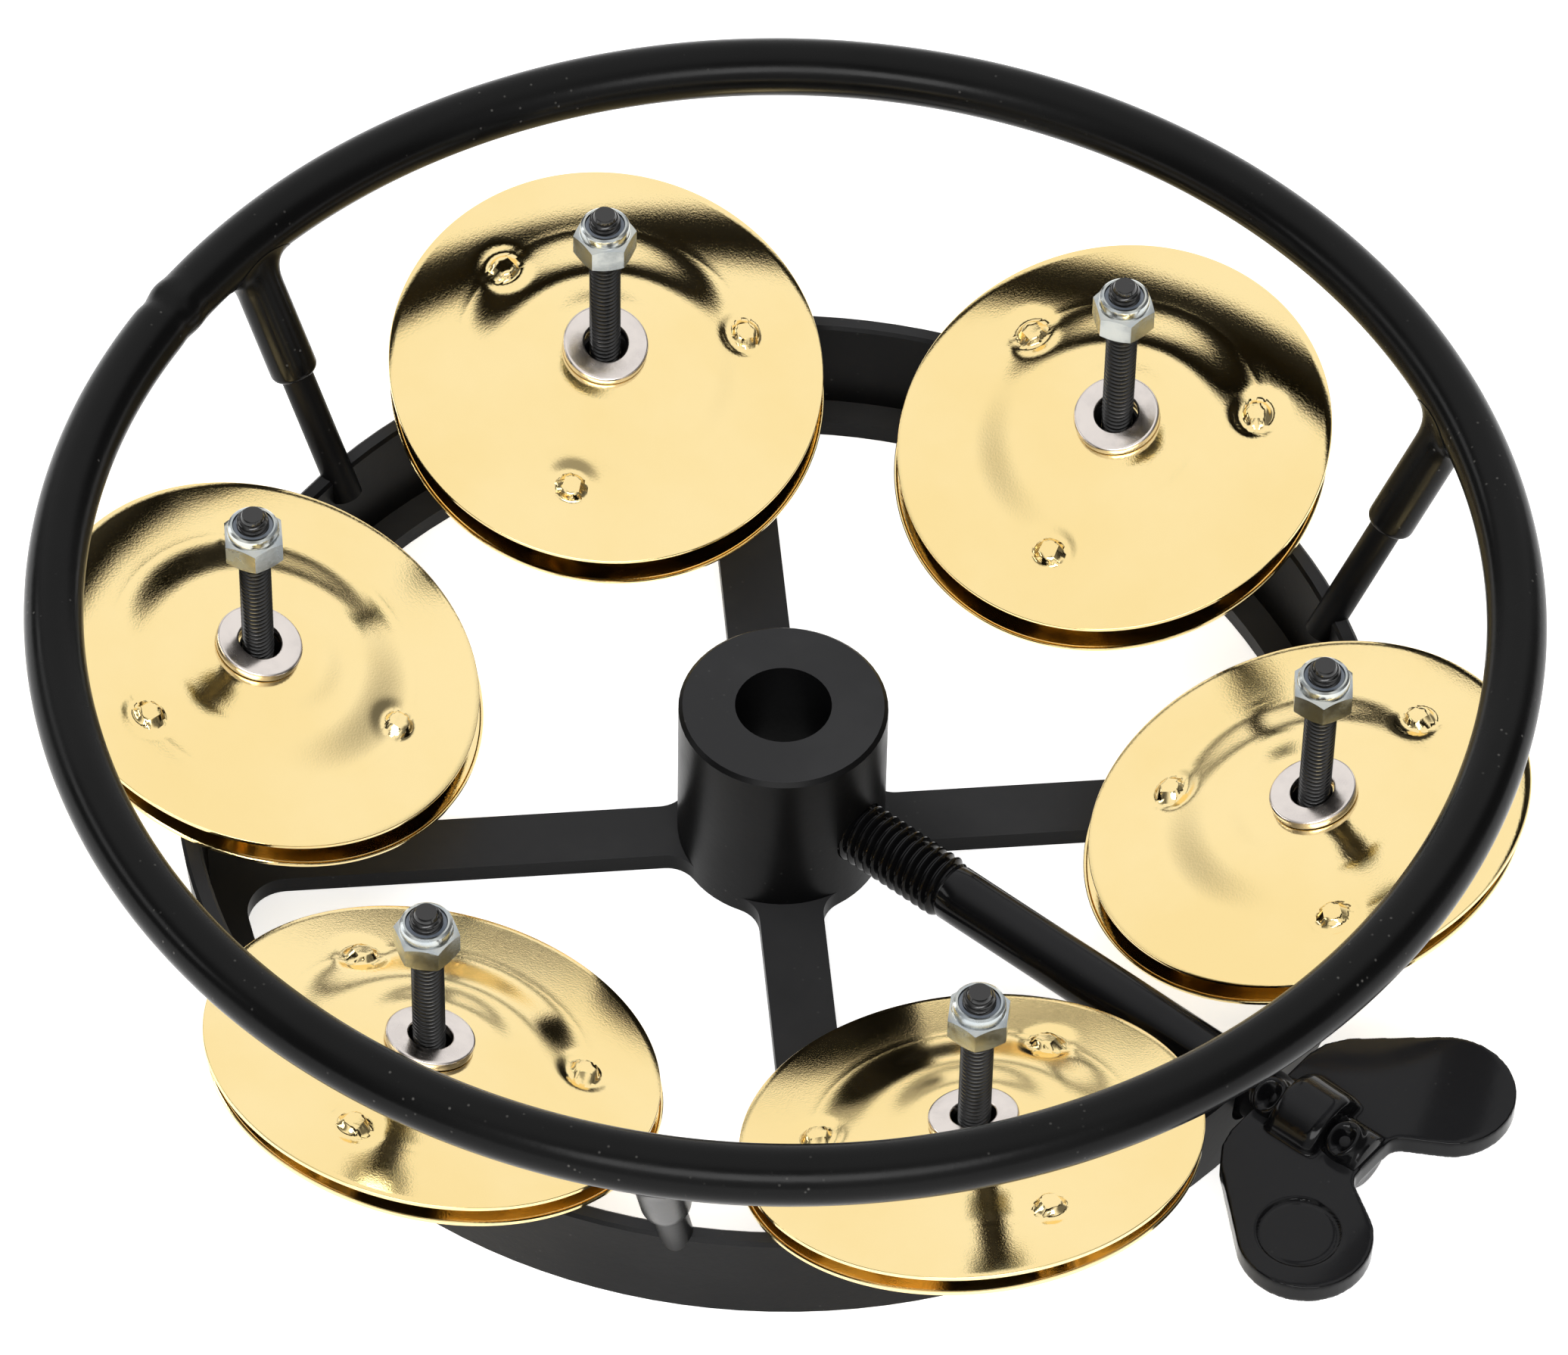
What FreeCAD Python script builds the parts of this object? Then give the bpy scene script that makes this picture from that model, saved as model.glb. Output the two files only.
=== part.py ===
import FreeCAD, Part
import math
import os
import re

import Sketcher

# A tambourine that clamps to the pull rod of a hi-hat stand.  Millimetres, +Z up.  The origin is on the
# axis of the hub bore, in the plane of the frame's underside, and +X runs out along the clamp screw.
#
# The frame is one casting: a hub, four spokes and a ring of L section with six bosses.  A steel ring on
# three leaning posts stands over it as a guard, dipped in soft plastic.  Each boss holds an upright
# screw with a pair of loose brass jingles on it.

# ---------------------------------------------------------------- driving sizes
SIZES = [
    # frame casting
    ("hub_diameter", 26.0), ("hub_height", 25.6), ("hub_chamfer", 0.5), ("bore_diameter", 12.0),
    ("spoke_width", 8.0), ("spoke_depth", 2.5), ("hub_fillet", 4.0), ("rim_fillet", 5.0),
    ("wall_diameter", 150.8), ("wall_height", 15.0), ("wall_thickness", 2.3), ("wall_draft", 1.3),
    ("ledge_width", 3.8), ("wall_chamfer", 0.4),
    ("station_inset", 9.1), ("boss_diameter", 12.0), ("seat_step", 3.75),
    # guard ring, its posts and their soft coat
    ("ring_diameter", 178.0), ("ring_height", 46.7), ("rod_diameter", 5.5),
    ("post_diameter", 4.2), ("post_seat", 4.0), ("coat_thickness", 1.0), ("coat_length", 20.0),
    # jingle screws, lock nuts and washers
    ("screw_diameter", 4.0), ("screw_length", 45.0), ("screw_point", 0.8),
    ("head_diameter", 7.6), ("head_height", 2.4), ("head_edge", 0.9), ("socket_width", 2.5),
    ("socket_depth", 1.3), ("head_clearance", 0.3),
    ("nut_width", 7.0), ("nut_height", 5.0), ("nut_hex_height", 3.4), ("nut_below_tip", 1.8),
    ("insert_wall", 0.65), ("insert_height", 1.4), ("nut_lip", 0.25),
    ("washer_diameter", 11.0), ("washer_play", 1.5), ("washer_thickness", 1.2), ("washer_edge", 0.4),
    # jingles and the spacer that keeps a pair apart
    ("jingle_diameter", 56.0), ("jingle_sheet", 0.7), ("jingle_lip", 0.35), ("jingle_play", 3.4),
    ("dome_diameter", 38.6), ("dome_rise", 2.1), ("crown_diameter", 25.0), ("crown_rise", 0.55),
    ("seat_diameter", 12.0), ("shoulder_radius", 27.0),
    ("button_diameter", 3.2), ("button_height", 0.5), ("button_radius", 18.6),
    ("rim_gap", 3.2), ("spacer_play", 3.0), ("spacer_wall", 1.3), ("jingle_drop", 0.7),
    # clamp screw and its wing head
    ("clamp_thread", 8.0), ("clamp_shank", 7.2), ("clamp_height", 11.0), ("clamp_tip", 0.3),
    ("clamp_thread_shown", 14.3), ("clamp_reach", 17.0), ("clamp_edge", 0.5), ("clamp_notch_gap", 0.9),
    ("wing_thickness", 3.0), ("wing_lobe", 8.3), ("wing_spread", 14.2), ("wing_gap", 1.5),
    ("wing_length", 16.6), ("wing_web_width", 11.0), ("wing_notch_depth", 0.7),
    ("wing_back_corner", 3.5), ("wing_notch_corner", 1.5), ("wing_edge", 0.8),
    ("barrel_diameter", 11.0), ("barrel_gap", 2.7), ("barrel_length", 8.4), ("medal_diameter", 10.0),
    ("medal_depth", 0.4),
    # clearance between loose pieces that lie on each other
    ("loose_gap", 0.15), ("running_gap", 0.05),
]
STATIONS = 6
POSTS = 3
SPOKES = 4
BUTTONS = 3
STATION_OFFSET = 30.0        # degrees from the clamp screw to the first station
SPOKE_OFFSET = 45.0          # degrees from the clamp screw to the first spoke
POST_OFFSET = 60.0           # degrees from the clamp screw to the first post

doc = FreeCAD.newDocument("tambourine")
sheet = doc.addObject("Spreadsheet::Sheet", "Sizes")
for row, (alias, number) in enumerate(SIZES, start=1):
    sheet.set("A%d" % row, alias)
    sheet.set("B%d" % row, str(number))
    sheet.setAlias("B%d" % row, alias)
doc.recompute()

Z_AXIS = FreeCAD.Vector(0, 0, 1)
Y_AXIS = FreeCAD.Vector(0, 1, 0)
exported = []


def size(alias):
    return float(sheet.get(alias))


def bind(item, prop, text):
    """Ties a property to the sheet.  Size names are written bare in the text."""
    item.setExpression(prop, re.sub("[a-z_]+", lambda name: "Sizes." + name.group(), text))


def number_of(text):
    """The present value of an expression in the sheet's names."""
    names = {alias: size(alias) for alias, number in SIZES}
    total = 0.0
    for term in text.replace("- ", "+ -").split("+ "):
        product = 1.0
        for factor in term.split("*"):
            parts = factor.strip().split("/")
            head = parts[0].strip()
            sign = -1.0 if head.startswith("-") else 1.0
            head = head.lstrip("-").strip()
            product *= sign * (names[head] if head in names else float(head))
            for divisor in parts[1:]:
                product /= float(divisor)
        total += product
    return total


# ---------------------------------------------------------------- sketch helpers
def origin_plane(body, role):
    return next(item for item in body.Origin.OriginFeatures if item.Role == role)


def new_body(name):
    return doc.addObject("PartDesign::Body", name)


def new_sketch(body, name, role):
    sketch = body.newObject("Sketcher::SketchObject", name)
    sketch.AttachmentSupport = [(origin_plane(body, role), "")]
    sketch.MapMode = "FlatFace"
    return sketch


def fix_point(sketch, geometry, end, x_text, y_text):
    """Holds one point of a sketch at a place given by two expressions."""
    for kind, axis, text in (("DistanceX", -2, x_text), ("DistanceY", -1, y_text)):
        if text == "0":
            sketch.addConstraint(Sketcher.Constraint("PointOnObject", geometry, end, axis))
            continue
        datum = sketch.addConstraint(Sketcher.Constraint(kind, -1, 1, geometry, end, number_of(text)))
        bind(sketch, "Constraints[%d]" % datum, text)


def arc_between(start, finish, radius):
    """The short arc from start to finish.  A positive radius bulges to the right of the travel."""
    chord = finish - start
    half = chord.Length / 2
    across = FreeCAD.Vector(-chord.y, chord.x, 0).normalize()
    reach = math.sqrt(max(radius * radius - half * half, 0.0))
    centre = (start + finish) * 0.5 + across * math.copysign(reach, radius)
    circle = Part.Circle(centre, Z_AXIS, abs(radius))
    angles = [math.atan2(point.y - centre.y, point.x - centre.x) for point in (start, finish)]
    if radius < 0:
        angles.reverse()
    return Part.ArcOfCircle(circle, angles[0], angles[1])


def outline(body, name, role, corners):
    """A closed sketch through corners (x, y) or (x, y, radius), where radius makes the edge that
    arrives at the corner an arc.  All three are expressions in the sheet's names."""
    sketch = new_sketch(body, name, role)
    points = [FreeCAD.Vector(number_of(c[0]), number_of(c[1]), 0) for c in corners]
    ends = []
    for index, corner in enumerate(corners):
        start, finish = points[index - 1], points[index]
        if len(corner) == 3:
            radius = number_of(corner[2])
            geometry = sketch.addGeometry(arc_between(start, finish, radius))
            ends.append((geometry, 1, 2) if radius > 0 else (geometry, 2, 1))
        else:
            geometry = sketch.addGeometry(Part.LineSegment(start, finish))
            ends.append((geometry, 1, 2))
    for index, corner in enumerate(corners):
        after = ends[(index + 1) % len(ends)]
        sketch.addConstraint(Sketcher.Constraint("Coincident", ends[index][0], ends[index][2],
                                                 after[0], after[1]))
        fix_point(sketch, ends[index][0], ends[index][2], corner[0], corner[1])
        if len(corner) == 3:
            datum = sketch.addConstraint(Sketcher.Constraint("Radius", ends[index][0],
                                                             abs(number_of(corner[2]))))
            bind(sketch, "Constraints[%d]" % datum, corner[2].lstrip("-"))
    return sketch


def circle(body, name, role, x_text, y_text, diameter_text):
    sketch = new_sketch(body, name, role)
    centre = FreeCAD.Vector(number_of(x_text), number_of(y_text), 0)
    index = sketch.addGeometry(Part.Circle(centre, Z_AXIS, number_of(diameter_text) / 2))
    fix_point(sketch, index, 3, x_text, y_text)
    datum = sketch.addConstraint(Sketcher.Constraint("Diameter", index, number_of(diameter_text)))
    bind(sketch, "Constraints[%d]" % datum, diameter_text)
    return sketch


def hexagon(body, name, role, width_text):
    """A regular hexagon about the origin, measured across its flats."""
    sketch = new_sketch(body, name, role)
    reach = number_of(width_text) / math.sqrt(3)
    corners = [FreeCAD.Vector(reach * math.cos(k * math.pi / 3), reach * math.sin(k * math.pi / 3), 0)
               for k in range(6)]
    for k in range(6):
        sketch.addGeometry(Part.LineSegment(corners[k], corners[(k + 1) % 6]))
    rim = sketch.addGeometry(Part.Circle(FreeCAD.Vector(0, 0, 0), Z_AXIS, reach), True)
    sketch.addConstraint(Sketcher.Constraint("Coincident", rim, 3, -1, 1))
    for k in range(6):
        sketch.addConstraint(Sketcher.Constraint("Coincident", k, 2, (k + 1) % 6, 1))
        sketch.addConstraint(Sketcher.Constraint("PointOnObject", k, 1, rim))
    for k in range(1, 6):
        sketch.addConstraint(Sketcher.Constraint("Equal", 0, k))
    sketch.addConstraint(Sketcher.Constraint("PointOnObject", 0, 1, -1))
    datum = sketch.addConstraint(Sketcher.Constraint("Diameter", rim, 2 * reach))
    bind(sketch, "Constraints[%d]" % datum, "%s * 1.1547005" % width_text)
    return sketch


# ---------------------------------------------------------------- feature helpers
def revolve(body, sketch):
    feature = body.newObject("PartDesign::Revolution", sketch.Name + "_turned")
    feature.Profile = sketch
    feature.ReferenceAxis = (sketch, ["V_Axis"])
    feature.Angle = 360
    sketch.Visibility = False
    return feature


def groove(body, sketch):
    feature = body.newObject("PartDesign::Groove", sketch.Name + "_groove")
    feature.Profile = sketch
    feature.ReferenceAxis = (sketch, ["V_Axis"])
    feature.Angle = 360
    return feature


def pad(body, sketch, length_text):
    feature = body.newObject("PartDesign::Pad", sketch.Name + "_pad")
    feature.Profile = sketch
    bind(feature, "Length", length_text)
    return feature


def pocket(body, sketch, length_text, reverse=True):
    feature = body.newObject("PartDesign::Pocket", sketch.Name + "_cut")
    feature.Profile = sketch
    bind(feature, "Length", length_text)
    feature.Reversed = reverse
    return feature


def repeat_round(body, features, count, span=360.0):
    """Repeats features about the body's Z axis, count times over the span in degrees."""
    pattern = body.newObject("PartDesign::PolarPattern", features[0].Name + "_ring")
    pattern.Originals = features
    pattern.Axis = (next(a for a in body.Origin.OriginFeatures if a.Role == "Z_Axis"), [""])
    pattern.Angle = span
    pattern.Occurrences = count
    body.Tip = pattern
    return pattern


def round_edges(body, base, chosen, radius_text, name):
    """Fillets the edges of base for which chosen(edge) is true."""
    doc.recompute()
    names = ["Edge%d" % (k + 1) for k, edge in enumerate(base.Shape.Edges) if chosen(edge)]
    feature = body.newObject("PartDesign::Fillet", name)
    feature.Base = (base, names)
    bind(feature, "Radius", radius_text)
    return feature


def placed(radius=0.0, height=0.0, azimuth=0.0, lean=0.0, upside_down=False):
    """A piece's own Z axis leaned outward by lean degrees at a radius, then swung to an azimuth."""
    swing = FreeCAD.Rotation(Z_AXIS, azimuth)
    tip = FreeCAD.Rotation(Y_AXIS, lean + (180.0 if upside_down else 0.0))
    base = swing.multVec(FreeCAD.Vector(radius, 0, height))
    return FreeCAD.Placement(base, swing.multiply(tip))


def keep(item, label):
    item.Label = label
    exported.append(item)
    return item


def station_azimuth(index):
    return STATION_OFFSET + index * 360.0 / STATIONS


def station_radius():
    return size("wall_diameter") / 2 - size("station_inset")


def wall_radius():
    return size("wall_diameter") / 2


# ---------------------------------------------------------------- places worked out from the sizes
def jingle_tilt():
    """A pair leans inward: it rests on the boss's inner edge and on the top of the frame's wall."""
    rise = size("seat_step")
    inner = station_radius() - size("boss_diameter") / 2
    outer = size("wall_diameter") / 2 - size("wall_thickness")
    return math.degrees(math.atan2(rise, outer - inner))


def stack_place(index, lift, slide_in=0.0, upside_down=False):
    """A place in the tilted stack of a station: lift is measured square to the jingles, from the line
    through the boss's edge and the wall's edge, where it crosses the screw's axis."""
    tilt = math.radians(jingle_tilt())
    foot = size("wall_height") - size("seat_step") + size("boss_diameter") / 2 * math.tan(tilt)
    height = foot + lift / math.cos(tilt) - slide_in * math.sin(tilt)
    radius = station_radius() - slide_in * math.cos(tilt)
    return placed(radius, height, station_azimuth(index), -math.degrees(tilt), upside_down)


def post_lean():
    """The post runs from the middle of the wall's top edge to the centre of the guard ring's rod."""
    foot = (size("wall_diameter") - size("wall_thickness")) / 2
    return math.degrees(math.atan2(size("ring_diameter") / 2 - foot,
                                   size("ring_height") - size("wall_height")))


# ---------------------------------------------------------------- frame
def frame_blank():
    """Hub, spokes and L-section rim, with rounded corners where the spokes meet them."""
    body = new_body("frame_blank")
    bar = outline(body, "spoke_bar", "XY_Plane", [
        ("0", "-spoke_width / 2"),
        ("wall_diameter / 2 - wall_thickness - wall_draft", "-spoke_width / 2"),
        ("wall_diameter / 2 - wall_thickness - wall_draft", "spoke_width / 2"),
        ("0", "spoke_width / 2")])
    repeat_round(body, [pad(body, bar, "spoke_depth")], SPOKES)
    hub = outline(body, "hub_section", "XZ_Plane", [
        ("0", "0"), ("hub_diameter / 2", "0"), ("hub_diameter / 2", "hub_height - hub_chamfer"),
        ("hub_diameter / 2 - hub_chamfer", "hub_height"), ("0", "hub_height")])
    revolve(body, hub)
    rim = outline(body, "rim_section", "XZ_Plane", [
        ("wall_diameter / 2 - wall_thickness - wall_draft - ledge_width", "0"),
        ("wall_diameter / 2 - wall_draft", "0"),
        ("wall_diameter / 2", "wall_height - wall_chamfer"),
        ("wall_diameter / 2 - wall_chamfer", "wall_height"),
        ("wall_diameter / 2 - wall_thickness + wall_chamfer", "wall_height"),
        ("wall_diameter / 2 - wall_thickness", "wall_height - wall_chamfer"),
        ("wall_diameter / 2 - wall_thickness - wall_draft", "spoke_depth"),
        ("wall_diameter / 2 - wall_thickness - wall_draft - ledge_width", "spoke_depth")])
    blank = revolve(body, rim)
    hub_radius = size("hub_diameter") / 2
    rim_radius = size("wall_diameter") / 2 - size("wall_thickness") - size("wall_draft") - size("ledge_width")

    def corner_at(radius):
        def chosen(edge):
            low, high = edge.BoundBox.ZMin, edge.BoundBox.ZMax
            middle = edge.BoundBox.Center
            upright = edge.BoundBox.XLength < 1e-4 and edge.BoundBox.YLength < 1e-4
            return (upright and high - low < size("spoke_depth") + 0.01
                    and abs(math.hypot(middle.x, middle.y) - radius) < 0.05)
        return chosen
    blank = round_edges(body, blank, corner_at(hub_radius), "hub_fillet", "hub_corners")
    round_edges(body, blank, corner_at(rim_radius), "rim_fillet", "rim_corners")
    return body


def frame():
    """The casting: the blank turned to its spokes' angle, with bosses, bore, screw holes and notches."""
    blank = frame_blank()
    blank.Placement = FreeCAD.Placement(FreeCAD.Vector(), FreeCAD.Rotation(Z_AXIS, SPOKE_OFFSET))
    body = new_body("bosses")
    boss = circle(body, "boss_circle", "XY_Plane", "wall_diameter / 2 - station_inset", "0", "boss_diameter")
    repeat_round(body, [pad(body, boss, "wall_height - seat_step")], STATIONS)
    body.Placement = placed(azimuth=STATION_OFFSET)
    solid = doc.addObject("Part::MultiFuse", "frame_solid")
    solid.Shapes = [blank, body]
    cutters = [cylinder("bore_cutter", "bore_diameter / 2", "hub_height * 2",
                        placed(height=-size("hub_height") / 2))]
    drill = cylinder("clamp_cutter", "clamp_thread / 2 + running_gap", "hub_diameter / 2", FreeCAD.Placement(
        FreeCAD.Vector(0, 0, size("clamp_height")), FreeCAD.Rotation(Y_AXIS, 90)))
    bind(drill, "Placement.Base.z", "clamp_height")
    cutters.append(drill)
    cutters += clamp_notch()
    for index in range(STATIONS):
        azimuth = station_azimuth(index)
        radius = station_radius()
        cutters.append(cylinder("screw_cutter_%d" % index, "screw_diameter / 2", "wall_height * 2",
                                placed(radius, -size("wall_height") / 2, azimuth)))
        cutters.append(cylinder("head_cutter_%d" % index, "head_diameter / 2 + head_clearance",
                                "head_height * 2", placed(radius, -size("head_height"), azimuth)))
    for index in range(POSTS):
        cutters.append(post_blank("notch_cutter_%d" % index, index))
    tools = doc.addObject("Part::MultiFuse", "frame_cutters")
    tools.Shapes = cutters
    cut = doc.addObject("Part::Cut", "base_frame")
    cut.Base = solid
    cut.Tool = tools
    return keep(cut, "base_frame")


def clamp_notch():
    """The U-shaped notch in the rim's wall that the clamp screw's shank passes through."""
    gap = size("clamp_shank") / 2 + size("clamp_notch_gap")
    start = station_radius()
    low = FreeCAD.Placement(FreeCAD.Vector(start, 0, size("clamp_height")), FreeCAD.Rotation(Y_AXIS, 90))
    round_part = cylinder("notch_round", "clamp_shank / 2 + clamp_notch_gap", "wall_diameter / 4", low)
    slot = doc.addObject("Part::Box", "notch_slot")
    bind(slot, "Length", "wall_diameter / 4")
    bind(slot, "Width", "clamp_shank + clamp_notch_gap * 2")
    bind(slot, "Height", "wall_height")
    slot.Placement = FreeCAD.Placement(FreeCAD.Vector(start, -gap, size("clamp_height")), FreeCAD.Rotation())
    return [round_part, slot]


def cylinder(name, radius_text, height_text, placement):
    item = doc.addObject("Part::Cylinder", name)
    bind(item, "Radius", radius_text)
    bind(item, "Height", height_text)
    item.Placement = placement
    return item


# ---------------------------------------------------------------- guard ring
def post_blank(name, index):
    """A post's full length, from its seat in the wall to the centre line of the guard ring."""
    lean = math.radians(post_lean())
    seat = size("post_seat")
    foot_radius = (size("wall_diameter") - size("wall_thickness")) / 2 - seat * math.sin(lean)
    foot_height = size("wall_height") - seat * math.cos(lean)
    span = (size("ring_height") - foot_height) / math.cos(lean)
    item = doc.addObject("Part::Cylinder", name)
    bind(item, "Radius", "post_diameter / 2")
    item.Height = span
    item.Placement = placed(foot_radius, foot_height, POST_OFFSET + index * 360.0 / POSTS,
                            math.degrees(lean))
    return item


def guard_rod():
    ring = doc.addObject("Part::Torus", "guard_rod")
    bind(ring, "Radius1", "ring_diameter / 2")
    bind(ring, "Radius2", "rod_diameter / 2")
    ring.Placement = placed(height=size("ring_height"))
    bind(ring, "Placement.Base.z", "ring_height")
    return keep(ring, "guard_ring_rod")


def posts(rod):
    made = []
    for index in range(POSTS):
        cut = doc.addObject("Part::Cut", "post_%d" % (index + 1))
        cut.Base = post_blank("post_blank_%d" % index, index)
        cut.Tool = rod
        made.append(keep(cut, "guard_post_%d" % (index + 1)))
    return made


def sleeve(index):
    """The soft coat's outside on one post: a round bar with a rounded lower lip."""
    body = new_body("sleeve_%d" % index)
    section = outline(body, "sleeve_section_%d" % index, "XZ_Plane", [
        ("0", "0"), ("post_diameter / 2", "0"),
        ("post_diameter / 2 + coat_thickness", "coat_thickness", "coat_thickness"),
        ("post_diameter / 2 + coat_thickness", "coat_length"), ("0", "coat_length")])
    revolve(body, section)
    lean = math.radians(post_lean())
    length = size("coat_length")
    body.Placement = placed(size("ring_diameter") / 2 - length * math.sin(lean),
                            size("ring_height") - length * math.cos(lean),
                            POST_OFFSET + index * 360.0 / POSTS, math.degrees(lean))
    return body


def guard_coat(rod, made_posts):
    """The dipped soft plastic over the ring and the upper part of each post."""
    skin = doc.addObject("Part::Torus", "coat_ring")
    bind(skin, "Radius1", "ring_diameter / 2")
    bind(skin, "Radius2", "rod_diameter / 2 + coat_thickness")
    bind(skin, "Placement.Base.z", "ring_height")
    whole = doc.addObject("Part::MultiFuse", "coat_solid")
    whole.Shapes = [skin] + [sleeve(index) for index in range(POSTS)]
    core = doc.addObject("Part::MultiFuse", "coat_core")
    core.Shapes = [rod] + made_posts
    cut = doc.addObject("Part::Cut", "guard_coat")
    cut.Base = whole
    cut.Tool = core
    return keep(cut, "guard_coat")


# ---------------------------------------------------------------- station pieces
def screw(index):
    """A button-head screw, upright through the boss, its seat at the bottom of the counterbore."""
    body = new_body("screw_%d" % index)
    section = outline(body, "screw_section_%d" % index, "XZ_Plane", [
        ("0", "-head_height"), ("socket_width", "-head_height"),
        ("head_diameter / 2", "-head_edge", "head_height"),
        ("head_diameter / 2", "0"), ("screw_diameter / 2", "0"),
        ("screw_diameter / 2", "screw_length - screw_point"),
        ("screw_diameter / 2 - screw_point / 2", "screw_length"), ("0", "screw_length")])
    revolve(body, section)
    socket = hexagon(body, "socket_%d" % index, "XY_Plane", "socket_width")
    socket.AttachmentOffset = FreeCAD.Placement(FreeCAD.Vector(0, 0, -size("head_height")),
                                                FreeCAD.Rotation())
    pocket(body, socket, "socket_depth")
    body.Placement = placed(station_radius(), size("head_height"), station_azimuth(index))
    return keep(body, "jingle_screw_%d" % (index + 1))


def nut_height_above_floor():
    return (size("head_height") + size("screw_length") - size("nut_below_tip") - size("nut_height"))


def lock_nut(index):
    """A hexagon nut whose rolled collar holds a plastic locking ring."""
    body = new_body("nut_%d" % index)
    pad(body, hexagon(body, "nut_hex_%d" % index, "XY_Plane", "nut_width"), "nut_height")
    collar = outline(body, "nut_collar_%d" % index, "XZ_Plane", [
        ("nut_width / 2 - nut_lip", "nut_hex_height + nut_lip"),
        ("nut_width", "nut_hex_height - nut_width / 5"),
        ("nut_width", "nut_height + nut_lip"),
        ("nut_width / 2 - nut_lip - nut_lip * 2", "nut_height + nut_lip"),
        ("nut_width / 2 - nut_lip - nut_lip * 2", "nut_height"),
        ("nut_width / 2 - nut_lip", "nut_height - nut_lip * 2", "nut_lip * 2.0001")])
    groove(body, collar)
    foot = outline(body, "nut_foot_%d" % index, "XZ_Plane", [
        ("nut_width / 2", "0"), ("nut_width", "0"), ("nut_width", "nut_width / 4")])
    groove(body, foot)
    bore = outline(body, "nut_bore_%d" % index, "XZ_Plane", [
        ("0", "-nut_lip"), ("screw_diameter / 2", "-nut_lip"),
        ("screw_diameter / 2", "nut_height - nut_lip - insert_height"),
        ("screw_diameter / 2 + insert_wall", "nut_height - nut_lip - insert_height"),
        ("screw_diameter / 2 + insert_wall", "nut_height - nut_lip"),
        ("screw_diameter / 2 + insert_wall - nut_lip", "nut_height - nut_lip"),
        ("screw_diameter / 2 + insert_wall - nut_lip", "nut_height + nut_lip"),
        ("0", "nut_height + nut_lip")])
    groove(body, bore)
    body.Placement = placed(station_radius(), nut_height_above_floor(), station_azimuth(index))
    return keep(body, "lock_nut_%d" % (index + 1))


def nut_inserts():
    """The six plastic locking rings, one in each nut's collar."""
    body_shapes = []
    for index in range(STATIONS):
        body = new_body("insert_%d" % index)
        section = outline(body, "insert_section_%d" % index, "XZ_Plane", [
            ("screw_diameter / 2", "nut_height - nut_lip - insert_height"),
            ("screw_diameter / 2 + insert_wall", "nut_height - nut_lip - insert_height"),
            ("screw_diameter / 2 + insert_wall", "nut_height - nut_lip"),
            ("screw_diameter / 2", "nut_height - nut_lip")])
        revolve(body, section)
        body.Placement = placed(station_radius(), nut_height_above_floor(), station_azimuth(index))
        body_shapes.append(body)
    group = doc.addObject("Part::Compound", "nut_inserts")
    group.Links = body_shapes
    return keep(group, "lock_nut_inserts")


def jingle(index, name, lift, upside_down):
    """A domed brass disc with a turned-down lip and three pressed buttons.  Its own Z = 0 is the top of
    the flat brim."""
    body = new_body("%s_%d" % (name, index))
    skin = [("screw_diameter / 2 + jingle_play / 2", "dome_rise"), ("seat_diameter / 2", "dome_rise"),
            ("crown_diameter / 2", "dome_rise - crown_rise"),
            ("dome_diameter / 2", "0", "-shoulder_radius")]
    inside = [(x, y + " - jingle_sheet" if y != "0" else "-jingle_sheet") for x, y in
              [(corner[0], corner[1]) for corner in skin]]
    section = outline(body, "%s_section_%d" % (name, index), "XZ_Plane", [
        skin[0], skin[1], skin[2], skin[3],
        ("jingle_diameter / 2 - jingle_lip", "0"),
        ("jingle_diameter / 2", "-jingle_lip", "-jingle_lip"),
        ("jingle_diameter / 2", "-jingle_sheet - jingle_lip"),
        ("jingle_diameter / 2 - jingle_sheet", "-jingle_sheet - jingle_lip"),
        ("jingle_diameter / 2 - jingle_sheet", "-jingle_sheet"),
        inside[3], (inside[2][0], inside[2][1], "shoulder_radius"), inside[1], inside[0]])
    revolve(body, section)
    button = circle(body, "%s_button_%d" % (name, index), "XY_Plane", "button_radius", "0", "button_diameter")
    button.AttachmentOffset = FreeCAD.Placement(
        FreeCAD.Vector(0, 0, -size("jingle_sheet") / 2), FreeCAD.Rotation())
    repeat_round(body, [pad(body, button, "jingle_sheet / 2 + button_height")], BUTTONS)
    body.Placement = stack_place(index, lift, size("jingle_drop"), upside_down)
    return keep(body, "%s_jingle_%d" % (name, index + 1))


def spacer(index, lift):
    """A loose tube between the two jingles, wide enough to lean with them on the screw."""
    body = new_body("spacer_%d" % index)
    length = "rim_gap + dome_rise * 2 - loose_gap * 2"
    tilt = math.radians(jingle_tilt())
    section = outline(body, "spacer_section_%d" % index, "XZ_Plane", [
        ("screw_diameter / 2 + spacer_play / 2", "0"),
        ("screw_diameter / 2 + spacer_play / 2 + spacer_wall", "0"),
        ("screw_diameter / 2 + spacer_play / 2 + spacer_wall", length),
        ("screw_diameter / 2 + spacer_play / 2", length)])
    revolve(body, section)
    body.Placement = stack_place(index, lift, -number_of(length) / 2 * math.tan(tilt))
    return keep(body, "jingle_spacer_%d" % (index + 1))


def washer(index, lift):
    """The washer on top, its stamped edge rounded on the upper side."""
    body = new_body("washer_%d" % index)
    section = outline(body, "washer_section_%d" % index, "XZ_Plane", [
        ("screw_diameter / 2 + washer_play / 2", "0"), ("washer_diameter / 2", "0"),
        ("washer_diameter / 2", "washer_thickness - washer_edge"),
        ("washer_diameter / 2 - washer_edge", "washer_thickness", "washer_edge"),
        ("screw_diameter / 2 + washer_play / 2", "washer_thickness")])
    revolve(body, section)
    body.Placement = stack_place(index, lift)
    return keep(body, "top_washer_%d" % (index + 1))


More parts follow.
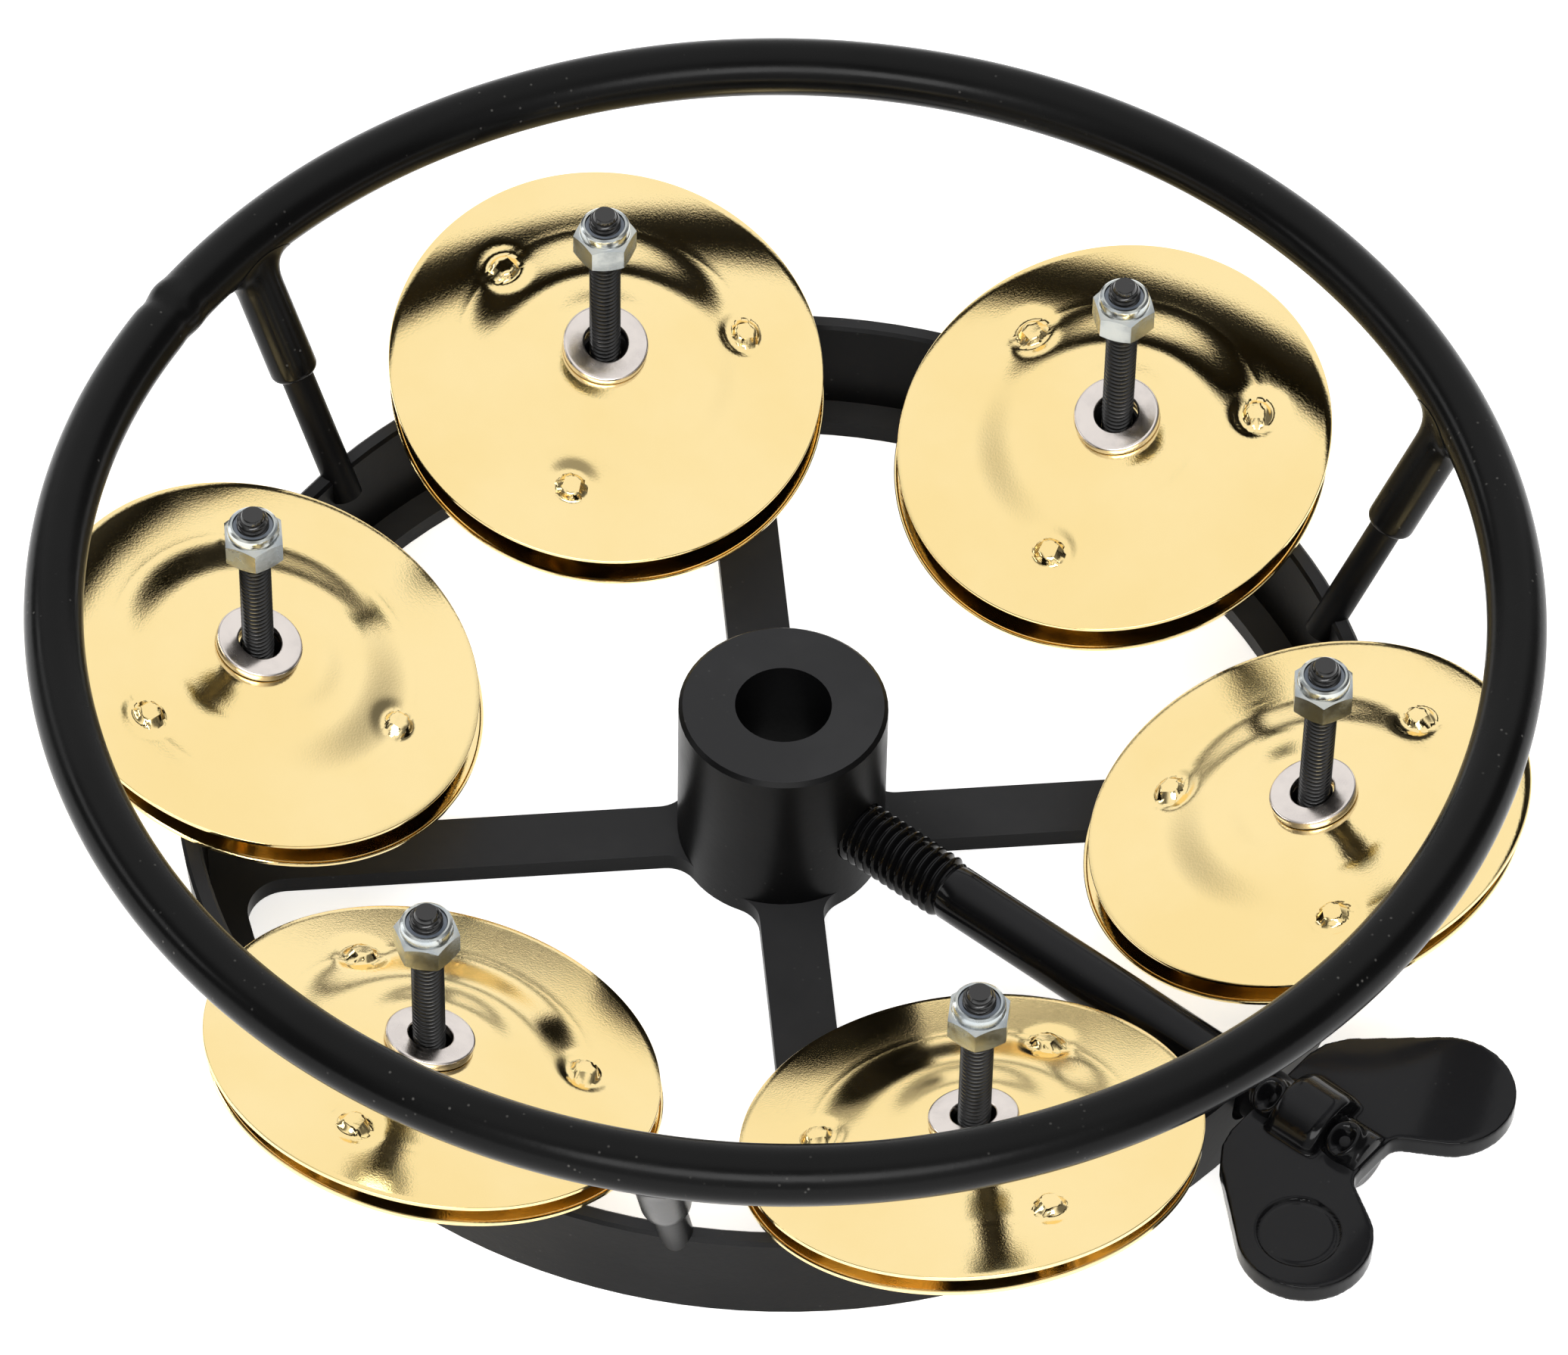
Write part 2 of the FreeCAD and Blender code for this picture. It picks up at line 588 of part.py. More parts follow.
def station(index):
    """One station, from its screw to its lock nut.  Lifts are stacked up from the rest line."""
    screw(index)
    lock_nut(index)
    gap = size("loose_gap")
    lower_brim = 2 * gap + size("dome_rise")
    jingle(index, "lower", lower_brim, True)
    inner_face = 2 * gap + size("jingle_sheet")
    spacer(index, inner_face + gap)
    upper_brim = lower_brim + 2 * size("jingle_sheet") + size("rim_gap")
    jingle(index, "upper", upper_brim, False)
    washer(index, upper_brim + size("dome_rise") + gap)


# ---------------------------------------------------------------- clamp screw
def along_x(distance):
    return FreeCAD.Placement(FreeCAD.Vector(distance, 0, size("clamp_height")), FreeCAD.Rotation(Y_AXIS, 90))


def clamp_bolt():
    """The clamp screw: a rolled thread in the hub's side, then a plain shank out past the guard ring."""
    body = new_body("clamp_bolt")
    section = outline(body, "clamp_section", "XZ_Plane", [
        ("0", "bore_diameter / 2 + clamp_tip"),
        ("clamp_thread / 2 - clamp_edge", "bore_diameter / 2 + clamp_tip"),
        ("clamp_thread / 2", "bore_diameter / 2 + clamp_tip + clamp_edge"),
        ("clamp_thread / 2", "hub_diameter / 2 + clamp_thread_shown"),
        ("clamp_shank / 2", "hub_diameter / 2 + clamp_thread_shown + clamp_edge"),
        ("clamp_shank / 2", "wall_diameter / 2 + clamp_reach - clamp_edge / 2"),
        ("clamp_shank / 2 - clamp_edge / 2", "wall_diameter / 2 + clamp_reach"),
        ("0", "wall_diameter / 2 + clamp_reach")])
    revolve(body, section)
    body.Placement = along_x(0.0)
    return keep(body, "clamp_bolt")


def wing_arm(side):
    """One arm of the wing: a straight strip from the root that ends in a round lobe."""
    run = size("wing_gap") + size("wing_length")
    angle = side * math.degrees(math.atan2(size("wing_spread"), run))
    turn = FreeCAD.Rotation(Z_AXIS, angle)
    root = FreeCAD.Vector(wall_radius(), 0, size("clamp_height") - size("wing_thickness") / 2)
    strip = doc.addObject("Part::Box", "wing_strip")
    strip.Length = math.hypot(size("wing_spread"), run)
    bind(strip, "Width", "wing_lobe * 2")
    bind(strip, "Height", "wing_thickness")
    strip.Placement = FreeCAD.Placement(root + turn.multVec(FreeCAD.Vector(0, -size("wing_lobe"), 0)), turn)
    lobe = cylinder("wing_lobe_end", "wing_lobe", "wing_thickness", FreeCAD.Placement(
        root + FreeCAD.Vector(run, side * size("wing_spread"), 0), FreeCAD.Rotation()))
    return [strip, lobe]


def wing_plate():
    """The flat V of the wing, squared off at the back, with every edge eased."""
    low = size("clamp_height") - size("wing_thickness") / 2
    back = wall_radius() + size("wing_gap")
    reach = size("wing_spread") + 2 * size("wing_lobe")
    web = doc.addObject("Part::Box", "wing_web")
    bind(web, "Length", "wing_length - wing_notch_depth")
    bind(web, "Width", "wing_web_width")
    bind(web, "Height", "wing_thickness")
    web.Placement = FreeCAD.Placement(FreeCAD.Vector(back, -size("wing_web_width") / 2, low),
                                      FreeCAD.Rotation())
    arms = doc.addObject("Part::MultiFuse", "wing_arms")
    arms.Shapes = wing_arm(1) + wing_arm(-1) + [web]
    stock = doc.addObject("Part::Box", "wing_stock")
    stock.Length = 2 * reach
    stock.Width = 2 * reach
    bind(stock, "Height", "wing_thickness")
    stock.Placement = FreeCAD.Placement(FreeCAD.Vector(back, -reach, low), FreeCAD.Rotation())
    plate = doc.addObject("Part::MultiCommon", "wing_outline")
    plate.Shapes = [arms, stock]
    plate.Refine = True
    doc.recompute()
    corners = []
    for number, edge in enumerate(plate.Shape.Edges, start=1):
        box = edge.BoundBox
        if box.XLength + box.YLength < 1e-4:
            at_back = abs(box.XMin - back) < 1e-3
            at_notch = abs(box.YMin) < size("wing_lobe") and not at_back
            if at_back or at_notch:
                radius = size("wing_back_corner") if at_back else size("wing_notch_corner")
                corners.append((number, radius, radius))
    rounded = doc.addObject("Part::Fillet", "wing_corners")
    rounded.Base = plate
    rounded.Edges = corners
    doc.recompute()
    eased = doc.addObject("Part::Fillet", "wing_eased")
    eased.Base = rounded
    eased.Edges = [(number, size("wing_edge"), size("wing_edge"))
                   for number, edge in enumerate(rounded.Shape.Edges, start=1)
                   if edge.BoundBox.ZLength < 1e-4]
    return eased


def wing_head(bolt):
    """The cast wing: the flat V and a barrel bored for the shank, with a round recess in one lobe."""
    lobe_centre = wall_radius() + size("wing_gap") + size("wing_length")
    barrel_start = wall_radius() + size("wing_gap") + size("barrel_gap")
    barrel = cylinder("wing_barrel", "barrel_diameter / 2", "barrel_length", along_x(barrel_start))
    whole = doc.addObject("Part::MultiFuse", "wing_solid")
    whole.Shapes = [wing_plate(), barrel]
    medal = cylinder("medal_cutter", "medal_diameter / 2", "wing_thickness", FreeCAD.Placement(
        FreeCAD.Vector(lobe_centre, -size("wing_spread"),
                       size("clamp_height") + size("wing_thickness") / 2 - size("medal_depth")),
        FreeCAD.Rotation()))
    tools = doc.addObject("Part::MultiFuse", "wing_cutters")
    tools.Shapes = [bolt, medal]
    cut = doc.addObject("Part::Cut", "wing_head")
    cut.Base = whole
    cut.Tool = tools
    return keep(cut, "wing_head")


# ---------------------------------------------------------------- build, check and write
def build():
    frame()
    rod = guard_rod()
    guard_coat(rod, posts(rod))
    for index in range(STATIONS):
        station(index)
    nut_inserts()
    wing_head(clamp_bolt())
    doc.recompute()


def check():
    for item in doc.Objects:
        if "Invalid" in item.State or "Error" in item.State:
            raise RuntimeError("%s did not build: %s" % (item.Name, item.State))
    for item in exported:
        if item.Shape.isNull() or not item.Shape.isValid() or not item.Shape.Solids:
            raise RuntimeError("%s has no valid solid" % item.Label)


def write():
    os.makedirs("parts", exist_ok=True)
    for item in exported:
        item.Shape.exportStep("parts/%s.step" % item.Label)
        print("%-22s %9.1f mm3, %d solid(s)" % (item.Label, item.Shape.Volume, len(item.Shape.Solids)))


build()
check()
write()
print("jingle tilt %.2f degrees, post lean %.2f degrees" % (jingle_tilt(), post_lean()))
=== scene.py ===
# %% [markdown]
# # A hi-hat tambourine
#
# This lesson dresses a finished CAD model.  The CAD file holds the pieces, their places and how they move;
# this script adds what the eye needs: real threads, pressed brass, dipped plastic, worn paint and light.
#
# Every length below is in millimetres until a mesh is made, where it turns into Blender's metres.

# %% Load the frame
import math

import bmesh
import bpy
import numpy as np
from mathutils import Matrix, Vector


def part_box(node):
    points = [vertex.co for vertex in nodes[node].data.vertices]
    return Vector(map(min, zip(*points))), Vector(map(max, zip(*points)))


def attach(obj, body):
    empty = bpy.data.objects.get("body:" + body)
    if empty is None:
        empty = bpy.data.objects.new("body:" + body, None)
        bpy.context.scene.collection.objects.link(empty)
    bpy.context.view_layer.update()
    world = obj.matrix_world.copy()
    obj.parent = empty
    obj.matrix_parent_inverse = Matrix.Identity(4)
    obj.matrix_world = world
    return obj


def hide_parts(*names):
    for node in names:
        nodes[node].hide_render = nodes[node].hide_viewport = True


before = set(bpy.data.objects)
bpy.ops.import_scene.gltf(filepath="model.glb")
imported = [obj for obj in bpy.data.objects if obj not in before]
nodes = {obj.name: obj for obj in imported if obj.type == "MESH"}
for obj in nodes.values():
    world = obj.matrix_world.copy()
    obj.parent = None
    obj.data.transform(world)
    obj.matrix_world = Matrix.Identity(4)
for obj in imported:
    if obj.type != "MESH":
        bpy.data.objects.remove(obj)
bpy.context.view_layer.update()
MM = 0.001
STATIONS = range(1, 7)

# %% [markdown]
# ## Reading the frame
#
# Nothing here is placed by eye.  A jingle lies at a slant, so its place is its centre and the direction of
# its own axis.  Both can be read from the CAD disc: its rim points lie in one plane, and the direction in
# which they spread least is the axis.  A singular value decomposition finds that direction.

# %% Find a disc's centre and axis


def points_of(node):
    """All corners of a CAD node, in millimetres."""
    return np.array([v.co for v in nodes[node].data.vertices], float) / MM


def disc_place(node):
    """A point on the disc's axis and the axis itself, pointing up."""
    points = points_of(node)
    middle = (points.max(0) + points.min(0)) / 2
    for _ in range(4):
        reach = np.linalg.norm(points - middle, axis=1)
        rim = points[reach > 0.985 * reach.max()]
        middle = (rim.max(0) + rim.min(0)) / 2
    axis = np.linalg.svd(rim - rim.mean(0))[2][2]
    if axis[2] < 0:
        axis = -axis
    return middle, axis


def upright_place(node):
    """Centre line and floor-to-top span of an upright piece."""
    low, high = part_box(node)
    return Vector(((low.x + high.x) / 2 / MM, (low.y + high.y) / 2 / MM, low.z / MM)), (high.z - low.z) / MM


def matrix_along(axis, place, spin=0.0):
    """A matrix that stands a piece's own Z along axis, at place, after turning it about Z by spin degrees.
    Before the spin its X points away from the middle of the instrument."""
    up = Vector(axis).normalized()
    outward = Vector((place[0], place[1], 0)).normalized()
    side = up.cross(outward).normalized()
    front = side.cross(up)
    turn = Matrix((front, side, up)).transposed().to_4x4()
    return Matrix.Translation(Vector(place)) @ turn @ Matrix.Rotation(math.radians(spin), 4, "Z")


for k in STATIONS:
    spot, axis = disc_place(f"upper_jingle_{k}")
    lean = math.degrees(math.acos(axis[2]))
    print(f"upper jingle {k}: centre {np.round(spot, 2)}, leans {lean:.2f} degrees")

# %% [markdown]
# ## Making meshes
#
# Almost everything here was turned, pressed or rolled, so most pieces are a section swept round an axis.
# `lathe` does that for any list of (radius, height) points.  Two small helpers draw the sections: `bend`
# rounds a corner with a few points, as a tool's nose would.  Edges sharper than a limit are marked sharp,
# so that flat faces stay flat while curved ones shade smoothly.

# %% Mesh helpers


def make_piece(name, points, faces, matrix=None, sharp=38.0, weld=1e-5):
    """A mesh object from points in millimetres."""
    mesh = bpy.data.meshes.new(name)
    place = matrix or Matrix.Identity(4)
    mesh.from_pydata([place @ Vector(p) * MM for p in points], [], faces)
    work = bmesh.new()
    work.from_mesh(mesh)
    bmesh.ops.remove_doubles(work, verts=work.verts, dist=weld * MM)
    bmesh.ops.recalc_face_normals(work, faces=work.faces)
    for face in work.faces:
        face.smooth = True
    for edge in work.edges:
        edge.smooth = edge.calc_face_angle(0.0) < math.radians(sharp)
    work.to_mesh(mesh)
    work.free()
    piece = bpy.data.objects.new(name, mesh)
    bpy.context.scene.collection.objects.link(piece)
    return piece


def bend(corner, radius, before, after, steps=5):
    """Points that round a section's corner between the points before and after it."""
    corner, before, after = Vector(corner), Vector(before), Vector(after)
    start = corner + (before - corner).normalized() * radius
    finish = corner + (after - corner).normalized() * radius
    made = []
    for k in range(steps + 1):
        t = k / steps
        made.append(tuple(start * (1 - t) ** 2 + corner * 2 * t * (1 - t) + finish * t ** 2))
    return made


def rounded(section, radii, steps=5):
    """A closed section with each corner rounded by its own radius; 0 leaves a corner sharp."""
    made = []
    for k, (corner, radius) in enumerate(zip(section, radii)):
        if radius:
            made += bend(corner, radius, section[k - 1], section[(k + 1) % len(section)], steps)
        else:
            made.append(tuple(corner))
    return made


def lathe(section, steps=96, closed=True):
    """Sweeps (radius, height) points round Z.  Returns points and faces."""
    points, faces = [], []
    for k in range(steps):
        angle = 2 * math.pi * k / steps
        points += [(r * math.cos(angle), r * math.sin(angle), z) for r, z in section]
    n = len(section)
    for k in range(steps):
        here, there = k * n, (k + 1) % steps * n
        for j in range(n if closed else n - 1):
            nxt = (j + 1) % n
            faces.append((here + j, there + j, there + nxt, here + nxt))
    return points, faces


def cleaned(points, faces):
    """Drops faces that a point on the axis has squeezed to nothing."""
    kept = []
    for face in faces:
        ring = []
        for index in face:
            if all((Vector(points[index]) - Vector(points[other])).length > 1e-6 for other in ring):
                ring.append(index)
        if len(ring) > 2:
            kept.append(tuple(ring))
    return points, kept


# %% [markdown]
# ## Threads
#
# A rolled thread is a ridge that climbs one pitch per turn.  If the rows of a round grid climb with it,
# each row stays on the crest or in the root the whole way, and the ridge comes out crisp with few faces.
# The last column then joins the first, one pitch higher.

# %% A helical thread
THREAD_ROWS = 8
THREAD_SHAPE = (0.0, 0.0, 0.32, 0.78, 1.0, 1.0, 0.78, 0.32)     # share of the thread's depth, row by row


def thread(major, pitch, low, high, around=40):
    """Points and faces of a threaded bar's skin between two heights, with flat ends."""
    depth = 0.61 * pitch
    turns = math.ceil((high - low) / pitch) + 1
    rows = (turns + 1) * THREAD_ROWS + 1
    points, faces = [], []
    for i in range(around):
        for j in range(rows):
            angle = 2 * math.pi * i / around
            climb = low - pitch + pitch * (j / THREAD_ROWS + i / around)
            height = min(max(climb, low), high)
            radius = major - depth * (1 - THREAD_SHAPE[j % THREAD_ROWS])
            fade = min((height - low), (high - height)) / pitch
            radius = min(radius, major - depth * max(0.0, 0.75 - fade))
            points.append((radius * math.cos(angle), radius * math.sin(angle), height))
    for i in range(around):
        for j in range(rows - 1):
            if i < around - 1:
                faces.append((i * rows + j, (i + 1) * rows + j, (i + 1) * rows + j + 1, i * rows + j + 1))
            elif j + 1 + THREAD_ROWS < rows:
                faces.append((i * rows + j, j + THREAD_ROWS, j + 1 + THREAD_ROWS, i * rows + j + 1))
    return cleaned(points, faces)


def joined(*parts):
    """Several (points, faces) pairs as one."""
    points, faces = [], []
    for more_points, more_faces in parts:
        start = len(points)
        points += more_points
        faces += [tuple(index + start for index in face) for face in more_faces]
    return points, faces


# %% [markdown]
# ## Shared finishes
#
# Three effects turn up on several materials, so each is a node group built once:
# * `fine_grain` gives the tiny unevenness of a coat or a rolled sheet,
# * `handling` gives broad, soft patches where hands and cloths have changed the shine,
# * `dust` gives a few pale specks.
# A group only puts out masks and heights; the shader that uses them stays in the material.

# %% Node group helpers


def new_group(name, inputs, outputs):
    """An empty shader node group.  Inputs are (name, default) pairs, outputs are names of floats."""
    group = bpy.data.node_groups.new(name, "ShaderNodeTree")
    for label, default in inputs:
        socket = group.interface.new_socket(name=label, in_out="INPUT", socket_type="NodeSocketFloat")
        socket.default_value = default
    for label in outputs:
        group.interface.new_socket(name=label, in_out="OUTPUT", socket_type="NodeSocketFloat")
    return group, group.nodes.new("NodeGroupInput"), group.nodes.new("NodeGroupOutput")


def noise(tree, scale, detail=3.0, roughness=0.5):
    """A noise texture over the piece's own place.  Returns its factor output."""
    place = tree.nodes.new("ShaderNodeTexCoord")
    texture = tree.nodes.new("ShaderNodeTexNoise")
    texture.inputs["Detail"].default_value = detail
    texture.inputs["Roughness"].default_value = roughness
    tree.links.new(place.outputs["Object"], texture.inputs["Vector"])
    if isinstance(scale, (int, float)):
        texture.inputs["Scale"].default_value = scale
    else:
        tree.links.new(scale, texture.inputs["Scale"])
    return texture.outputs["Fac"]


def stretch(tree, value, low, high, to_low=0.0, to_high=1.0, smooth=True):
    """Maps a value from one range to another, held at both ends."""
    node = tree.nodes.new("ShaderNodeMapRange")
    node.interpolation_type = "SMOOTHSTEP" if smooth else "LINEAR"
    for label, number in (("From Min", low), ("From Max", high), ("To Min", to_low), ("To Max", to_high)):
        node.inputs[label].default_value = number
    tree.links.new(value, node.inputs["Value"])
    return node.outputs["Result"]


def maths(tree, kind, first, second):
    """A Math node; second may be a number or a socket."""
    node = tree.nodes.new("ShaderNodeMath")
    node.operation = kind
    for index, value in enumerate((first, second)):
        if isinstance(value, (int, float)):
            node.inputs[index].default_value = value
        else:
            tree.links.new(value, node.inputs[index])
    return node.outputs[0]


# %% The three groups


def build_fine_grain():
    group, given, out = new_group("fine_grain", [("Scale", 900.0)], ["Height"])
    fine = noise(group, given.outputs["Scale"], 4.0, 0.6)
    group.links.new(fine, out.inputs["Height"])
    return group


def build_handling():
    group, given, out = new_group("handling", [("Scale", 25.0)], ["Mask"])
    broad = noise(group, given.outputs["Scale"], 5.0, 0.55)
    group.links.new(stretch(group, broad, 0.35, 0.7), out.inputs["Mask"])
    return group


def build_dust():
    group, given, out = new_group("dust", [("Scale", 500.0), ("Amount", 0.5)], ["Mask"])
    place = group.nodes.new("ShaderNodeTexCoord")
    cells = group.nodes.new("ShaderNodeTexVoronoi")
    group.links.new(place.outputs["Object"], cells.inputs["Vector"])
    group.links.new(given.outputs["Scale"], cells.inputs["Scale"])
    speck = stretch(group, cells.outputs["Distance"], 0.0, 0.16, 1.0, 0.0)
    chosen = stretch(group, noise(group, 70.0, 2.0), 0.5, 0.62)
    mask = maths(group, "MULTIPLY", maths(group, "MULTIPLY", speck, chosen), given.outputs["Amount"])
    group.links.new(mask, out.inputs["Mask"])
    return group


FINE_GRAIN = build_fine_grain()
HANDLING = build_handling()
DUST = build_dust()

# %% Material helpers


def new_material(name, **fixed):
    """A material with a Principled shader; fixed sets its constant sockets by their label."""
    material = bpy.data.materials.new(name)
    material.use_nodes = True
    shader = material.node_tree.nodes["Principled BSDF"]
    for label, value in fixed.items():
        shader.inputs[label.replace("_", " ")].default_value = value
    return material, material.node_tree, shader


def use_group(tree, group, **values):
    node = tree.nodes.new("ShaderNodeGroup")
    node.node_tree = group
    for label, value in values.items():
        node.inputs[label].default_value = value
    return node.outputs[0]


def colour_between(tree, first, second, mask):
    """A colour that runs from first to second as mask goes from 0 to 1."""
    node = tree.nodes.new("ShaderNodeMix")
    node.data_type = "RGBA"
    node.inputs["A"].default_value = (*first, 1.0)
    node.inputs["B"].default_value = (*second, 1.0)
    tree.links.new(mask, node.inputs["Factor"])
    return node.outputs["Result"]


def add_bump(tree, shader, height, strength, depth_mm):
    node = tree.nodes.new("ShaderNodeBump")
    node.inputs["Strength"].default_value = strength
    node.inputs["Distance"].default_value = depth_mm * MM
    tree.links.new(height, node.inputs["Height"])
    tree.links.new(node.outputs["Normal"], shader.inputs["Normal"])


# %% [markdown]
# ## Brass
#
# The jingles are pressed from bright sheet brass.  The sheet is almost a mirror, but rolling left a fine
# grain, which breaks up the edge of every reflection into specks.  So the shine stays high, the colour
# drifts a little, and a very shallow grain bump does the rest.

# %% Brass


def brass_material():
    material, tree, shader = new_material("jingle_brass", Metallic=1.0)
    worn = use_group(tree, HANDLING, Scale=30.0)
    colour = colour_between(tree, (1.0, 0.80, 0.41), (0.975, 0.755, 0.35), worn)
    tree.links.new(colour, shader.inputs["Base Color"])
    tree.links.new(stretch(tree, worn, 0.0, 1.0, 0.045, 0.085), shader.inputs["Roughness"])
    add_bump(tree, shader, use_group(tree, FINE_GRAIN, Scale=3600.0), 0.5, 0.02)
    return material


# %% [markdown]
# ## Black coats
#
# Four blacks meet on this instrument and each shines differently: a satin powder coat on the casting, soft
# dipped plastic on the guard ring, a glossy electrocoat on the clamp screw and a thin oxide on the small
# screws.  They share the grain, handling and dust groups at their own scales.  Faces that look up are painted
# a paler grey, painted light standing for the sky above them, so those read paler than the upright ones.

# %% Black coats


def upward_mask(tree):
    """1 on faces that look up, 0 on upright and downward ones."""
    surface = tree.nodes.new("ShaderNodeNewGeometry")
    split = tree.nodes.new("ShaderNodeSeparateXYZ")
    tree.links.new(surface.outputs["Normal"], split.inputs[0])
    return stretch(tree, split.outputs["Z"], 0.80, 0.99)


def black_coat(name, colour, painted_top_colour, shine, worn_shine, grain, depth_mm, dust=0.0, **fixed):
    material, tree, shader = new_material(name, **fixed)
    worn = use_group(tree, HANDLING, Scale=45.0)
    # Painted light: faces that look up get a paler painted colour as if lit from above, varied a little by
    # the handling patches.
    painted_top_light = maths(tree, "MULTIPLY", upward_mask(tree), stretch(tree, worn, 0.0, 1.0, 0.8, 1.0))
    base = colour_between(tree, colour, painted_top_colour, painted_top_light)
    if dust:
        speck = use_group(tree, DUST, Scale=650.0, Amount=dust)
        node = tree.nodes.new("ShaderNodeMix")
        node.data_type = "RGBA"
        node.inputs["B"].default_value = (0.32, 0.31, 0.29, 1.0)
        tree.links.new(base, node.inputs["A"])
        tree.links.new(speck, node.inputs["Factor"])
        base = node.outputs["Result"]
    tree.links.new(base, shader.inputs["Base Color"])
    tree.links.new(stretch(tree, worn, 0.0, 1.0, shine, worn_shine), shader.inputs["Roughness"])
    add_bump(tree, shader, use_group(tree, FINE_GRAIN, Scale=grain), 0.5, depth_mm)
    return material


# The second colour of each coat is painted top light, used on its upward faces.
POWDER = black_coat("powder_coat", (0.003, 0.003, 0.0032), (0.032, 0.032, 0.033), 0.32, 0.42, 1100.0, 0.03,
                    0.08, Specular_IOR_Level=0.08)
DIPPED = black_coat("dipped_plastic", (0.0025, 0.0025, 0.0025), (0.006, 0.006, 0.006), 0.20, 0.28, 700.0,
                    0.03, 0.25, Specular_IOR_Level=0.11)
GLOSSY = black_coat("clamp_electrocoat", (0.0025, 0.0025, 0.0028), (0.014, 0.014, 0.015), 0.11, 0.18, 260.0,
                    0.03, 0.06, Specular_IOR_Level=0.14)
OXIDE = black_coat("screw_oxide", (0.005, 0.005, 0.005), (0.012, 0.011, 0.011), 0.18, 0.28, 1500.0, 0.01,
                   0.1, Specular_IOR_Level=0.6)
NYLON_BLACK = black_coat("spacer_plastic", (0.018, 0.018, 0.018), (0.03, 0.03, 0.03), 0.45, 0.55, 1200.0,
                         0.02)
BRASS = brass_material()

# %% [markdown]
# ## Bright hardware
#
# The washers are nickel plated and look faintly warm beside the zinc of the lock nuts, whose plating has a
# slight yellow and blue cast.  The locking ring inside each nut is dark nylon.

# %% Bright hardware


def plated(name, colour, tint, shine, worn_shine, grain):
    material, tree, shader = new_material(name, Metallic=1.0)
    worn = use_group(tree, HANDLING, Scale=260.0)
    tree.links.new(colour_between(tree, colour, tint, worn), shader.inputs["Base Color"])
    tree.links.new(stretch(tree, worn, 0.0, 1.0, shine, worn_shine), shader.inputs["Roughness"])
    add_bump(tree, shader, use_group(tree, FINE_GRAIN, Scale=grain), 0.4, 0.012)
    return material


NICKEL = plated("washer_nickel", (0.80, 0.735, 0.69), (0.74, 0.68, 0.645), 0.16, 0.28, 1800.0)
ZINC = plated("nut_zinc", (0.56, 0.57, 0.53), (0.44, 0.48, 0.50), 0.16, 0.28, 1500.0)
STEEL = plated("drawn_steel", (0.55, 0.55, 0.55), (0.45, 0.45, 0.45), 0.3, 0.4, 900.0)


def nylon_material():
    material, tree, shader = new_material("locking_nylon", Roughness=0.42)
    patch = use_group(tree, HANDLING, Scale=400.0)
    tree.links.new(colour_between(tree, (0.16, 0.18, 0.21), (0.10, 0.12, 0.15), patch),
                   shader.inputs["Base Color"])
    add_bump(tree, shader, use_group(tree, FINE_GRAIN, Scale=900.0), 0.3, 0.02)
    return material


NYLON = nylon_material()

# %% [markdown]
# ## Carried-over CAD pieces
#
# The casting, its posts and the hidden pieces already have their true shape, so they only take a finish.

# %% Finishes on CAD pieces
KEPT = {"base_frame": POWDER, "guard_ring_rod": STEEL, "lock_nut_inserts": NYLON}
KEPT.update({f"guard_post_{k}": POWDER for k in (1, 2, 3)})
KEPT.update({f"jingle_spacer_{k}": NYLON_BLACK for k in STATIONS})
for name, material in KEPT.items():
    mesh = nodes[name].data
    mesh.materials.clear()
    mesh.materials.append(material)


def finish_piece(piece, material, body, slot, *replaced):
    """Gives a new piece its material, its body and the CAD nodes that it stands for."""
    piece.data.materials.clear()
    piece.data.materials.append(material)
    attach(piece, body)
    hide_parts(*replaced)
    return piece


# %% [markdown]
# ## Jingles
#
# A jingle is a thin disc pressed between two dies: a brim that falls away a little and ends in a rolled
# edge, a soft slope, a nearly flat crown, and three little buttons.  A polar grid carries that shape as a
# height for every radius, with the buttons added on top.  The back of the sheet is the same grid, one
# thickness lower.
#
# The slopes matter more than they seem to.  A mirror turns its reflection by twice its own tilt, so a brim
# that falls three degrees decides where the guard ring shows up in the brass.
#
# Each upper jingle came to rest with its buttons pointing its own way, so each gets its own spin.

# %% Jingle shape
JINGLE_RADIUS = 28.0
SHEET = 0.45
LIP = 0.12
DROOP = 0.46
BRIM_RISE = 0.12
DOME = 2.1
CROWN = 0.55
HOLE = 3.7
SEAT = 6.0
CROWN_EDGE = 11.4
DOME_EDGE = 19.4
SOFTNESS = [0.15 * step for step in range(-8, 9)]      # the slope's two corners are rolled this softly
BUTTON_AT = 18.6
BUTTON_SIZE = 2.0
BUTTON_RISE = 0.85


def smooth_step(t):
    t = min(max(t, 0.0), 1.0)
    return t * t * (3 - 2 * t)


def sheet_height(radius):
    """Height of the pressed sheet above its brim."""
    crown = (DOME - CROWN) + CROWN * (1 - smooth_step((radius - SEAT) / (CROWN_EDGE - SEAT)))
    share = [min(max((radius + step - CROWN_EDGE) / (DOME_EDGE - CROWN_EDGE), 0.0), 1.0) for step in SOFTNESS]
    fall = sum(0.3 * part + 0.7 * smooth_step(part) for part in share) / len(share)
    brim = max(0.0, radius - DOME_EDGE) / (JINGLE_RADIUS - DOME_EDGE)
    return crown * (1 - fall) + BRIM_RISE * fall - (BRIM_RISE + DROOP) * brim


def button_height(x, y):
    """A round button that stands in a shallow ring pressed around it."""
    total = 0.0
    for k in range(3):
        angle = 2 * math.pi * k / 3
        gap = math.hypot(x - BUTTON_AT * math.cos(angle), y - BUTTON_AT * math.sin(angle))
        if gap < 2.4 * BUTTON_SIZE:
            dome = BUTTON_RISE * (1 - smooth_step((gap - 0.62 * BUTTON_SIZE) / (0.36 * BUTTON_SIZE)))
            moat = -0.22 * math.exp(-((gap - 1.2 * BUTTON_SIZE) / (0.45 * BUTTON_SIZE)) ** 2)
            total += dome + moat
    return total


def spaced(low, high, count):
    return [low + (high - low) * k / count for k in range(count)]


